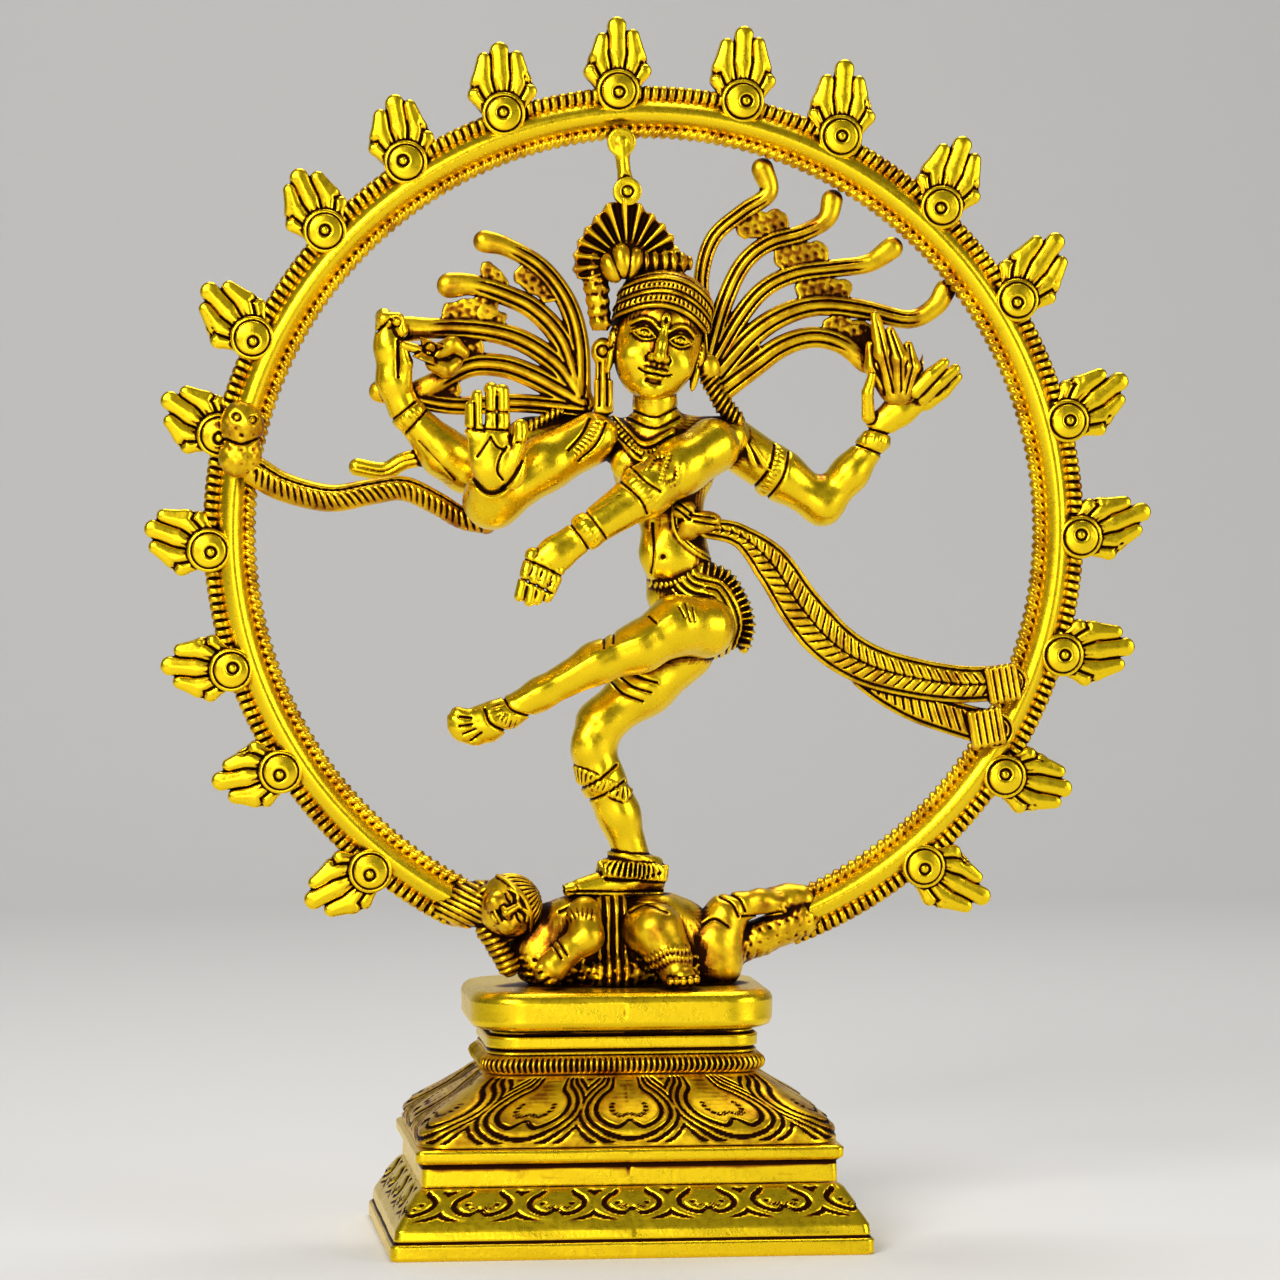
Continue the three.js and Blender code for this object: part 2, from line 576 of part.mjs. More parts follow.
function addTrimmings() {
  const ring = [ringBar, innerRope];
  addPiece(statue, "waist_knot", fitted(waistKnot, [torso, frontLeftArm]), agedBrass());
  addPiece(statue, "ear_pendant_left", fitted(leftEarPendant, [head, torso]), agedBrass());
  addPiece(statue, "ear_pendant_right", fitted(rightEarPendant, [head, torso, diadem]), agedBrass());
  const arms = [frontLeftArm, rearLeftArm, frontRightArm, rearRightArm];
  const upper = [torso, head, diadem, leftEarPendant, rightEarPendant, ...arms, ...ring];
  addPiece(statue, "hair_right", fitted(hairRight, upper), agedBrass());
  addPiece(statue, "hair_left", fitted(hairLeft, [...upper, handFire]), agedBrass());
  addPiece(statue, "serpent_head", fitted(serpentHead, [...ring, outerRope]), agedBrass());
  addPiece(statue, "serpent_body", fitted(serpentBody, [...ring, serpentHead, ...arms]), agedBrass());
  addPiece(statue, "sash", fitted(sash, [torso, hips, waistKnot, ...arms, ...ring]), agedBrass());
}

addRing();
addFlames();
addPedestal();
addDwarf();
addBody();
addArms();
addTrimmings();

export default statue;
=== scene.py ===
# Looks of a brass dancing figure in a ring of flames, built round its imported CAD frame.
import math

import bpy
import numpy as np
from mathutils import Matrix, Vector


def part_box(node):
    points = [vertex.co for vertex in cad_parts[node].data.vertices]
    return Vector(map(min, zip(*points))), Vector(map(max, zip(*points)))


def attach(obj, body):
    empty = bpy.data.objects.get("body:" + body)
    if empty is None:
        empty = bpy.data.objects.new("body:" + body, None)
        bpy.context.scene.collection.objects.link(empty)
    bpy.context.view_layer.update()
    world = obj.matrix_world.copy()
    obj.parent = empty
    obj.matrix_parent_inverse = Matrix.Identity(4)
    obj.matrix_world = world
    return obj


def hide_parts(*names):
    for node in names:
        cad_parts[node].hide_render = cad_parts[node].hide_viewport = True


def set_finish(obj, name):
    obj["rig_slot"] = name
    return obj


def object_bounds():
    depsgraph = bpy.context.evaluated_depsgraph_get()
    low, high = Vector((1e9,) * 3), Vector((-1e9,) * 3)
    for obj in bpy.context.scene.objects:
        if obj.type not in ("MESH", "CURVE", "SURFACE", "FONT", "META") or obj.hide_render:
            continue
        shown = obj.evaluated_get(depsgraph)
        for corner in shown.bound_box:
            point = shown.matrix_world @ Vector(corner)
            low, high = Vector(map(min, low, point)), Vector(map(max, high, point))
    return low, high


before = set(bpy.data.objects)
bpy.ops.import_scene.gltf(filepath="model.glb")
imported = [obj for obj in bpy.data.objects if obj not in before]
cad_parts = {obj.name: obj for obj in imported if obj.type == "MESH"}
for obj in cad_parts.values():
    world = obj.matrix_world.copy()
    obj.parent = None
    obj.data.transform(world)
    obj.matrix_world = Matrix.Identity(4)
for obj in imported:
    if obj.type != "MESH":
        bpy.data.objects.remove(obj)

CAD_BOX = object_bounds()
MM = 0.001
# How many points a shape is worked out for at a time.
CHUNK = 120000


# ---- places taken from the frame ----------------------------------------------------------------
def box_mm(node):
    """The lowest and highest corners of a CAD node, in millimetres."""
    low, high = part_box(node)
    return np.array(low) / MM, np.array(high) / MM


BAR_LOW, BAR_HIGH = box_mm("ring_bar")
RING_OUTER = (BAR_HIGH[0] - BAR_LOW[0]) / 2
RING_Z = BAR_HIGH[2] - RING_OUTER
BAR_WIDTH = 4.7
BAR_BACK = 2.2
BAR_RADIUS = RING_OUTER - BAR_WIDTH / 2
ROPE_OUT = RING_OUTER + 0.95
ROPE_IN = BAR_RADIUS - BAR_WIDTH / 2 - 0.7
RING_START = math.radians(-70.2)
RING_END = math.radians(242.5)
FLAME_LEAN = math.radians(23)
SLAB_LOW, SLAB_HIGH = box_mm("pedestal_slab")
PEDESTAL_X = (SLAB_LOW[0] + SLAB_HIGH[0]) / 2
# The figure is laid out in millimetres from the middle of the ring, with its points set against
# the reference view.
PIVOT = np.array([0, 0, RING_Z])
SLAB_TOP = SLAB_HIGH[2] + 0.05 - RING_Z


# ---- distance shapes -----------------------------------------------------------------------------
# Every shape takes p, an (n, 3) array of points in millimetres, and gives d, n signed distances.
# Where a piece has its own upright frame, q holds the same points in it. Lines drawn on a piece, for
# engrave and emboss, are (x, z) pairs; their depth is the distance y in front of which they show.
def vec(*numbers):
    return np.array(numbers, dtype=np.float32)


def blend(a, b, soft):
    """The two shapes together, with a fillet about as wide as soft where they meet."""
    overlap = np.maximum(soft - np.abs(a - b), 0.0) / soft
    return np.minimum(a, b) - overlap * overlap * soft * 0.25


def hump(value, width):
    """1 where the value is 0, falling smoothly to nothing about twice the width away."""
    return np.exp(-(value / width) ** 2)


def cut(a, b, soft=0.2):
    """The first shape with the second taken away."""
    return -blend(-a, b, soft)


def bar(p, start, end, start_radius, end_radius):
    """A round bar that tapers from one radius to the other."""
    axis = end - start
    along = np.clip((p - start) @ axis / float(axis @ axis), 0.0, 1.0)
    away = p - start - along[:, None] * axis
    return np.sqrt(np.einsum("ij,ij->i", away, away)) - (start_radius + (end_radius - start_radius) * along)


def bent(p, places, radii, soft):
    """Two tapered bars that meet at the middle one of three places."""
    first, middle, last = (vec(*place) for place in places)
    return blend(bar(p, first, middle, radii[0], radii[1]), bar(p, middle, last, radii[1], radii[2]), soft)


def limb(p, points, soft=1.2, flat=1.0):
    """A chain of tapered bars through (x, y, z, radius) points; flat thins it from front to back."""
    middle = points[0][1]
    scale = vec(1, 1 / flat, 1)
    squeezed = (p - vec(0, middle, 0)) * scale + vec(0, middle, 0)
    total = None
    for a, b in zip(points, points[1:]):
        start = (vec(*a[:3]) - vec(0, middle, 0)) * scale + vec(0, middle, 0)
        end = (vec(*b[:3]) - vec(0, middle, 0)) * scale + vec(0, middle, 0)
        d = bar(squeezed, start, end, a[3], b[3])
        total = d if total is None else blend(total, d, soft)
    return total * flat


def egg(p, centre, radii, turn=None):
    q = p - vec(*centre)
    if turn is not None:
        q = q @ turn
    r = vec(*radii)
    near = np.sqrt(((q / r) ** 2).sum(1))
    far = np.sqrt(((q / (r * r)) ** 2).sum(1)) + 1e-6
    return near * (near - 1.0) / far


def turned(axis, degrees):
    """A matrix that turns points by the given angle about X, Y or Z, for egg."""
    a = math.radians(degrees)
    c, s = math.cos(a), math.sin(a)
    if axis == "x":
        return np.array([[1, 0, 0], [0, c, s], [0, -s, c]], dtype=np.float32)
    if axis == "y":
        return np.array([[c, 0, -s], [0, 1, 0], [s, 0, c]], dtype=np.float32)
    return np.array([[c, s, 0], [-s, c, 0], [0, 0, 1]], dtype=np.float32)


def traced(p, path):
    """Distance in the X-Z plane to a drawn line, how far along it the nearest point is, and its side."""
    best = np.full(len(p), 1e3, dtype=np.float32)
    reach = np.zeros(len(p), dtype=np.float32)
    side = np.ones(len(p), dtype=np.float32)
    done = 0.0
    for (ax, az), b in zip(path, path[1:]):
        ux, uz = b[0] - ax, b[1] - az
        length = math.hypot(ux, uz)
        qx, qz = p[:, 0] - ax, p[:, 2] - az
        along = np.clip((qx * ux + qz * uz) / (length * length), 0, 1)
        d = np.hypot(qx - along * ux, qz - along * uz)
        closer = d < best
        best = np.where(closer, d, best)
        reach = np.where(closer, done + along * length, reach)
        side = np.where(closer, np.sign(ux * qz - uz * qx), side)
        done += length
    return best, reach, side


def from_spot(p, x, z):
    """Distance in the X-Z plane from one place."""
    return np.hypot(p[:, 0] - x, p[:, 2] - z)


def front_of(p, y, soft=0.8):
    """1 in front of the plane at y, 0 behind it."""
    return np.clip((y - p[:, 1]) / soft + 0.5, 0, 1)


def engrave(d, p, path, width=0.28, depth=0.3, y=0.0):
    """A groove along a drawn line."""
    near = traced(p, path)[0]
    return d + depth * hump(near, width) * front_of(p, y)


def emboss(d, p, path, width=0.5, height=0.45, y=0.0, beads=0.0):
    """A raised line, beaded where a bead's length is given."""
    near, along, _ = traced(p, path)
    lift = height * hump(near, width) * front_of(p, y)
    if beads:
        lift = lift * (0.72 + 0.28 * np.cos(along * 2 * math.pi / beads))
    return d - lift


def band(d, p, centre, direction, half=0.8, height=0.5, reach=5.0, beads=0):
    """A raised band round a limb, square to the given direction."""
    c = vec(*centre)
    u = vec(*direction)
    u = u / np.linalg.norm(u)
    q = p - c
    along = q @ u
    away = q - along[:, None] * u
    radius = np.sqrt((away ** 2).sum(1))
    lift = height * np.clip((half - np.abs(along)) / 0.22 + 0.5, 0, 1) * (radius < reach)
    if beads:
        side = np.cross(u, vec(0.2, 1, 0.1))
        side /= np.linalg.norm(side)
        turn = np.arctan2(away @ np.cross(u, side), away @ side)
        lift = lift * (0.7 + 0.3 * np.cos(turn * beads))
    return d - lift


def rough(p, size):
    """An irregular bumpiness, about -1 to 1, with lumps about size millimetres apart."""
    k = 2 * math.pi / size
    x, y, z = p[:, 0] * k, p[:, 1] * k, p[:, 2] * k
    total = np.sin(0.83 * x + 0.41 * z + 0.3 * y) * np.sin(0.52 * z - 0.67 * x + 1.3)
    total = total + np.sin(1.31 * z + 0.37 * x + 0.9) * np.sin(0.94 * x - 0.29 * z + 0.5 * y)
    return total + 0.5 * np.sin(1.9 * x + 0.7 * z) * np.sin(1.6 * z - 1.1 * x)


def curve(points, steps=10):
    """A smooth line through the points, as a list of more points."""
    pts = [np.array(q, dtype=float) for q in points]
    pts = [2 * pts[0] - pts[1]] + pts + [2 * pts[-1] - pts[-2]]
    out = []
    for i in range(1, len(pts) - 2):
        for j in range(steps):
            t = j / steps
            a, b, c, e = pts[i - 1], pts[i], pts[i + 1], pts[i + 2]
            out.append(tuple(0.5 * (2 * b + (c - a) * t + (2 * a - 5 * b + 4 * c - e) * t * t
                                    + (3 * b - a - 3 * c + e) * t ** 3)))
    out.append(tuple(pts[-2]))
    return out


# ---- meshing -------------------------------------------------------------------------------------
def evaluated(shape, points):
    """The shape's distances at many points, a chunk at a time."""
    out = np.empty(len(points), dtype=np.float32)
    for i in range(0, len(points), CHUNK):
        out[i:i + CHUNK] = shape(points[i:i + CHUNK])
    return out


def sampled(shape, low, high, cell):
    """The shape's distances on a grid, worked out only in the blocks of cells near its surface."""
    block = 4
    size = cell * block
    count = np.ceil((high - low) / size).astype(int) + 1
    axes = [low[i] + size * (np.arange(count[i]) + 0.5) for i in range(3)]
    centres = np.stack(np.meshgrid(*axes, indexing="ij"), -1).reshape(-1, 3).astype(np.float32)
    coarse = evaluated(shape, centres)
    grid = np.repeat(np.repeat(np.repeat(coarse.reshape(count), block, 0), block, 1), block, 2)
    near = np.nonzero(np.abs(coarse) < size * 1.35 + 0.7)[0]
    corner = np.stack(np.unravel_index(near, count), 1) * block
    inner = np.stack(np.meshgrid(*[np.arange(block)] * 3, indexing="ij"), -1).reshape(-1, 3)
    index = (corner[:, None, :] + inner[None]).reshape(-1, 3)
    points = (low + (index + 0.5) * cell).astype(np.float32)
    grid[index[:, 0], index[:, 1], index[:, 2]] = evaluated(shape, points)
    return grid, low + 0.5 * cell


def surface(grid, origin, cell):
    """Surface nets: one vertex in each cell that the surface crosses, one quad for each crossed edge."""
    inside = grid < 0
    shape = np.array(grid.shape) - 1
    corners = [(i, j, k) for i in (0, 1) for j in (0, 1) for k in (0, 1)]
    total = np.zeros(shape, dtype=np.int8)
    for i, j, k in corners:
        total += inside[i:i + shape[0], j:j + shape[1], k:k + shape[2]]
    cells = np.stack(np.nonzero((total > 0) & (total < 8)), 1)
    number = np.full(shape, -1, dtype=np.int64)
    number[cells[:, 0], cells[:, 1], cells[:, 2]] = np.arange(len(cells))
    value = {c: grid[cells[:, 0] + c[0], cells[:, 1] + c[1], cells[:, 2] + c[2]] for c in corners}
    spot = np.zeros((len(cells), 3))
    hits = np.zeros(len(cells))
    for a in corners:
        for axis in range(3):
            if a[axis]:
                continue
            b = tuple(1 if i == axis else a[i] for i in range(3))
            crossed = (value[a] < 0) != (value[b] < 0)
            t = value[a] / np.where(crossed, value[a] - value[b], 1.0)
            where = np.tile(np.array(a, dtype=float), (len(cells), 1))
            where[:, axis] = t
            spot += where * crossed[:, None]
            hits += crossed
    verts = origin + (cells + spot / hits[:, None]) * cell
    quads = []
    for axis in range(3):
        u, v = (axis + 1) % 3, (axis + 2) % 3
        first = [slice(None)] * 3
        second = [slice(None)] * 3
        first[axis] = slice(0, -1)
        second[axis] = slice(1, None)
        a, b = inside[tuple(first)], inside[tuple(second)]
        edges = np.stack(np.nonzero(a != b), 1)
        edges = edges[(edges[:, u] > 0) & (edges[:, v] > 0)]
        edges = edges[(edges[:, u] < shape[u]) & (edges[:, v] < shape[v])]
        ring = []
        for du, dv in ((-1, -1), (0, -1), (0, 0), (-1, 0)):
            at = edges.copy()
            at[:, u] += du
            at[:, v] += dv
            ring.append(number[at[:, 0], at[:, 1], at[:, 2]])
        faces = np.stack(ring, 1)
        outward = a[edges[:, 0], edges[:, 1], edges[:, 2]]
        faces[~outward] = faces[~outward][:, ::-1]
        quads.append(faces)
    return verts, np.concatenate(quads)


def relaxed(verts, faces, rounds=1, amount=0.4):
    """Evens out the mesh: each vertex moves part of the way to the middle of its neighbours."""
    ends = np.concatenate([faces, np.roll(faces, -1, 1)])
    a = ends[:len(faces)].reshape(-1)
    b = ends[len(faces):].reshape(-1)
    count = np.bincount(a, minlength=len(verts)) + np.bincount(b, minlength=len(verts))
    for _ in range(rounds):
        mean = np.stack([np.bincount(a, verts[b, i], len(verts)) + np.bincount(b, verts[a, i], len(verts))
                         for i in range(3)], 1) / np.maximum(count, 1)[:, None]
        verts = verts + (mean - verts) * amount
    return verts


def sculpted(shape, low, high, cell):
    """The shape's surface inside a box, as vertices and quads."""
    grid, origin = sampled(shape, np.array(low, dtype=float), np.array(high, dtype=float), cell)
    verts, faces = surface(grid, origin, cell)
    return relaxed(verts, faces), faces


def lofted(rows, closed=False):
    """A skin over rows of points, each row a closed loop; the ends are capped unless the rows close."""
    rows = np.array(rows, dtype=float)
    count, around = rows.shape[:2]
    verts = rows.reshape(-1, 3)
    i = np.arange(count if closed else count - 1)[:, None]
    j = np.arange(around)[None]
    a = i * around + j
    b = i * around + (j + 1) % around
    c = ((i + 1) % count) * around + (j + 1) % around
    d = ((i + 1) % count) * around + j
    faces = np.stack(np.broadcast_arrays(a, b, c, d), -1).reshape(-1, 4)
    if closed:
        return verts, faces
    caps = []
    extra = []
    for row, flip in ((0, True), (count - 1, False)):
        centre = len(verts) + len(extra)
        extra.append(rows[row].mean(0))
        base = row * around
        k = np.arange(0, around - 1, 2)
        tri = np.stack([np.full(len(k), centre), base + k, base + k + 1, base + (k + 2) % around], 1)
        caps.append(tri[:, ::-1] if flip else tri)
    return np.concatenate([verts, extra]), np.concatenate([faces] + caps)


# ---- pieces --------------------------------------------------------------------------------------
PIECES = []


def add_piece(name, verts, faces, slot, *nodes):
    """Makes one Blender object from millimetres, gives it its finish slot and hides the CAD nodes it stands
    in for.
    """
    mesh = bpy.data.meshes.new(name)
    mesh.vertices.add(len(verts))
    mesh.vertices.foreach_set("co", (verts * MM).astype(np.float32).ravel())
    mesh.loops.add(faces.size)
    mesh.loops.foreach_set("vertex_index", faces.astype(np.int32).ravel())
    mesh.polygons.add(len(faces))
    mesh.polygons.foreach_set("loop_start", np.arange(0, faces.size, faces.shape[1], dtype=np.int32))
    mesh.polygons.foreach_set("use_smooth", np.ones(len(faces), dtype=bool))
    mesh.update(calc_edges=True)
    mesh.validate()
    piece = bpy.data.objects.new(name, mesh)
    bpy.context.scene.collection.objects.link(piece)
    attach(piece, "root")
    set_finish(piece, slot)
    if nodes:
        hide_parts(*nodes)
    PIECES.append((piece, verts, faces))


def cast(node, slot, shape, cell=0.2, grow=2.5):
    """Sculpts one piece of the figure. The CAD node's box, grown a little, says where to look for it."""
    low, high = box_mm(node)
    verts, faces = sculpted(shape, low - PIVOT - grow, high - PIVOT + grow, cell)
    add_piece(f"{node}_cast", verts + PIVOT, faces, slot, node)


# ---- ring ----------------------------------------------------------------------------------------
def ring_row(radius, angle, front):
    """One section of a strip round the ring, from each point's radius and how far it stands forward."""
    return np.stack([radius * math.cos(angle), -front, RING_Z + radius * math.sin(angle)], 1)


def add_ring_strip(name, rows, slot, node):
    verts, faces = lofted(rows)
    add_piece(name, verts, faces[:, ::-1], slot, node)


def wander(angle, seed, size):
    """A slow, smooth unevenness along a hand-filed edge."""
    rng = np.random.default_rng(seed)
    total = np.zeros_like(angle)
    for waves in range(3, 16, 2):
        total += np.sin(angle * waves + rng.uniform(0, 6.28)) * rng.uniform(0.3, 1) / waves ** 0.5
    return total * size


def make_ring_bar():
    around = np.linspace(0, 2 * math.pi, 28, endpoint=False)
    angle = np.linspace(RING_START, RING_END, 900)
    width = BAR_WIDTH / 2 + wander(angle, 3, 0.05)
    crown = 2.7 + wander(angle, 4, 0.06)
    rows = []
    for a, half, ridge in zip(angle, width, crown):
        side = np.cos(around)
        depth = np.sin(around)
        across = half * np.sign(side) * np.abs(side) ** 0.62
        roof = ridge * (1 - 0.62 * np.abs(across / half) ** 1.5) * np.abs(depth) ** 0.4
        front = np.where(depth > 0, roof, BAR_BACK * depth)
        rows.append(ring_row(BAR_RADIUS + across, a, front))
    add_ring_strip("ring_bar_cast", rows, "polished_brass", "ring_bar")


def make_notched_strip(name, node, radius, half, pitch, depth):
    """The strip outside the bar, cut across with slanting notches."""
    length = radius * (RING_END - RING_START)
    steps = int(length / pitch * 8)
    around = np.linspace(0, 2 * math.pi, 16, endpoint=False)
    angle = np.linspace(RING_START, RING_END, steps)
    uneven = wander(angle, int(radius), 0.5)
    rows = []
    for a, push in zip(angle, uneven):
        across = half * np.sign(np.cos(around)) * np.abs(np.cos(around)) ** 0.7
        notch = np.cos((a - RING_START) * radius / pitch * 2 * math.pi + push + 0.7 * np.cos(around))
        swell = 1 - depth * np.clip(notch, 0, 1) ** 2
        front = half * 1.15 * np.sign(np.sin(around)) * np.abs(np.sin(around)) ** 0.7
        r = radius + across * (1 + (swell - 1) * 0.35)
        rows.append(ring_row(r, a, front * swell))
    add_ring_strip(name, rows, "aged_brass", node)


def make_rope(name, node, radius, half, pitch, lobes, depth):
    """A strip of twisted strands: a lobed section that turns as it goes round the ring."""
    length = radius * (RING_END - RING_START)
    steps = int(length / pitch * 7)
    around = np.linspace(0, 2 * math.pi, 14, endpoint=False)
    angle = np.linspace(RING_START, RING_END, steps)
    rows = []
    uneven = wander(angle, int(radius), 0.4)
    for a, push in zip(angle, uneven):
        turn = (a - RING_START) * radius / pitch * 2 * math.pi / lobes + push
        swell = 1 + depth * np.cos((around - turn) * lobes)
        across = half * np.cos(around) * swell
        front = 1.25 * half * np.sin(around) * swell
        rows.append(ring_row(radius + across, a, front))
    add_ring_strip(name, rows, "aged_brass", node)


def flame_shape(height, seed):
    """A fan of flat tongues behind a round punched boss, in the flame's plane: x across, z outward."""
    rng = np.random.default_rng(seed)
    lanes = ((0.0, 0.0, 0.86, 1.8, 1.6), (1.4, 3.0, 0.74, 1.9, 1.25), (-1.4, -3.0, 0.72, 1.9, 1.25),
             (2.6, 4.2, 0.47, 1.25, 0.9), (-2.6, -4.2, 0.45, 1.25, 0.9))
    tongues = []
    for foot_x, tip_x, reach, middle_radius, tip_radius in lanes:
        top = height * reach * rng.uniform(0.95, 1.03)
        shift = rng.uniform(-0.2, 0.2)
        foot = vec(foot_x, 0, 2.0 - abs(foot_x) * 0.4)
        middle = vec(tip_x + shift, 0, (top + 1.0) * 0.52)
        end = vec(tip_x * 0.84 + shift, 0, top)
        tongues.append((foot, middle, end, middle_radius, tip_radius))
    eye_x, eye_z = rng.uniform(-0.5, 0.5, 2)

    def shape(p):
        flat = p * vec(1, 0, 1)
        leaves = []
        for *places, middle_radius, tip_radius in tongues:
            leaves.append(bent(flat, places, (1.1, middle_radius, tip_radius), 0.6))
        leaves = np.sort(np.stack(leaves), axis=0)
        nearest = leaves[0]
        belly = 1.25 + 0.35 * np.clip(-nearest / 1.5, 0, 1)
        front = np.abs(p[:, 1] + 0.4) - belly
        d = np.hypot(np.clip(nearest + 0.5, 0, None), np.clip(front + 0.5, 0, None)) - 0.5
        d = d + 0.5 * hump(leaves[1] - nearest, 0.4) * (p[:, 1] < -0.6)
        away = np.hypot(p[:, 0], p[:, 2])
        collar = np.hypot(away - 3.2, p[:, 1] + 2.2) - 0.42
        d = blend(np.maximum(d, 2.9 - away), collar, 0.15)
        boss = np.maximum(away - 2.65, np.abs(p[:, 1] + 1.9) - 1.3)
        boss = blend(boss, egg(p, (0, -2.2, 0), (2.9, 1.4, 2.9)), 0.5)
        eye = from_spot(p, eye_x, eye_z)
        boss = boss + 0.5 * hump(eye - 0.85, 0.22) * (p[:, 1] < -1.8)
        return blend(d, boss, 0.05)
    return shape


def make_flames():
    for i in range(1, 20):
        node = f"flame_{i:02d}"
        low, high = box_mm(node)
        centre = (low + high) / 2
        angle = math.atan2(centre[2] - RING_Z, centre[0])
        foot_radius = ROPE_OUT + 0.4
        height = 12.2 + 0.8 * math.cos(angle) + 0.3 * math.sin(angle) + 0.3 * math.sin(i * 2.4)
        low, high = (-7.2, -4.4, -4.2), (7.2, 1.8, height + 1.2)
        verts, faces = sculpted(flame_shape(height, 100 + i), low, high, 0.19)
        lean = FLAME_LEAN * min(max(2.2 * math.cos(angle), -1), 1)
        turn = angle + lean - math.pi / 2
        c, s = math.cos(turn), math.sin(turn)
        x = verts[:, 0] * c - verts[:, 2] * s + foot_radius * math.cos(angle)
        z = verts[:, 0] * s + verts[:, 2] * c + RING_Z + foot_radius * math.sin(angle)
        add_piece(f"{node}_cast", np.stack([x, verts[:, 1], z], 1), faces, "polished_brass", node)


def make_crest_strap():
    low, high = box_mm("crest_strap")
    top = vec(low[0] + 1.9, -2.4, high[2] - 1.9)
    foot = vec(high[0] - 1.8, -3.2, low[2] + 1.8)
    waist = (top + foot) / 2 + vec(-0.1, 0, 0.2)

    def shape(p):
        d = bent(p, (top, waist, foot), (1.7, 1.0, 1.6), 0.6)
        d = np.maximum(d, np.abs(p[:, 1] + 2.8) - 1.2)
        for disc in (top, foot):
            away = from_spot(p, disc[0], disc[2])
            coin = np.maximum(away - 2.35, np.abs(p[:, 1] - disc[1] + 0.4) - 1.0)
            coin = coin + 0.32 * hump(away - 0.85, 0.22) * (p[:, 1] < disc[1] - 0.5)
            d = blend(d, coin, 0.35)
        return d
    verts, faces = sculpted(shape, low - 1, high + 1, 0.18)
    add_piece("crest_strap_cast", verts, faces, "polished_brass", "crest_strap")


# ---- pedestal ------------------------------------------------------------------------------------
def outline(half_x, half_y, corner, pitch):
    """Columns round a rounded rectangle, from the middle of its front: for each one its share of the flat
    half sizes, its outward direction, and how far round the outline it is."""
    flat_x, flat_y = half_x - corner, half_y - corner
    quarter = corner * math.pi / 2
    runs = [((0, -1), (1, 0), flat_x, None), ((1, -1), (0, 0), quarter, -90),
            ((1, -1), (0, 1), 2 * flat_y, None), ((1, 1), (0, 0), quarter, 0),
            ((1, 1), (-1, 0), 2 * flat_x, None), ((-1, 1), (0, 0), quarter, 90),
            ((-1, 1), (0, -1), 2 * flat_y, None), ((-1, -1), (0, 0), quarter, 180),
            ((-1, -1), (1, 0), flat_x, None)]
    total = sum(run[2] for run in runs)
    share, way, walked = [], [], []
    for start, step, length, turn in runs:
        count = max(int(round(length / pitch)), 2)
        for k in range(count):
            t = (k + 0.5) * length / count
            if turn is None:
                share.append((start[0] + step[0] * t / flat_x, start[1] + step[1] * t / flat_y))
                way.append((step[1], -step[0]))
            else:
                a = math.radians(turn) + t / corner
                share.append(start)
                way.append((math.cos(a), math.sin(a)))
            walked.append(sum(run[2] for run in runs[:runs.index((start, step, length, turn))]) + t)
    return np.array(share, dtype=float), np.array(way), np.array(walked), total


def smooth_rows(rows, step):
    """Rows of (half_x, half_y, corner, height) with more rows put in between, about a step apart."""
    out = []
    for a, b in zip(rows, rows[1:]):
        a, b = np.array(a), np.array(b)
        count = max(int(math.hypot(b[0] - a[0], b[3] - a[3]) / step), 1)
        out += [a + (b - a) * k / count for k in range(count)]
    return out + [np.array(rows[-1])]


def make_tier(name, node, slot, rows, wall=3.0, bore=0.0, relief=None, step=0.3, pitch=0.3):
    """A moulding round the pedestal, hollow inside. relief(walked, total, depth) says how far each point is
    pushed out; depth runs from 0 at the top row to 1 at the foot."""
    widest = max(rows, key=lambda one: one[0])
    share, way, walked, total = outline(*widest[:3], pitch)

    def loop(half_x, half_y, corner, z, push=0.0):
        flat = share * (half_x - corner, half_y - corner)
        spot = flat + way * (corner + np.reshape(push, (-1, 1)))
        return np.column_stack([PEDESTAL_X + spot[:, 0], spot[:, 1], np.full(len(spot), z)])

    fine = smooth_rows(rows, step)
    skin = []
    for k, one in enumerate(fine):
        depth = 1 - k / (len(fine) - 1)
        push = relief(walked, total, depth) if relief else np.zeros(len(walked))
        skin.append(loop(*one, push + 0.05 * np.sin(walked * 0.31 + one[3]) * np.sin(walked * 0.083 + 2)))
    foot, top = fine[0], fine[-1]
    if bore:
        circle = way / np.linalg.norm(way, axis=1)[:, None] * bore
        inward = (0.02, 0.06, 0.12, 0.2, 0.3, 0.4, 0.5, 0.6, 0.7, 0.8, 0.9, 1.0)
        for row, mixes in ((top, inward), (foot, inward[::-1])):
            for mix in mixes:
                edge = loop(*row) * (1 - mix)
                edge[:, 0] += (circle[:, 0] + PEDESTAL_X) * mix
                edge[:, 1] += circle[:, 1] * mix
                edge[:, 2] = row[3]
                skin.append(edge)
    else:
        for row in (top, foot):
            skin.append(loop(row[0] - wall, row[1] - wall, max(row[2] - wall, 0.5), row[3]))
    verts, faces = lofted(skin, closed=True)
    add_piece(name, verts, faces, slot, node)


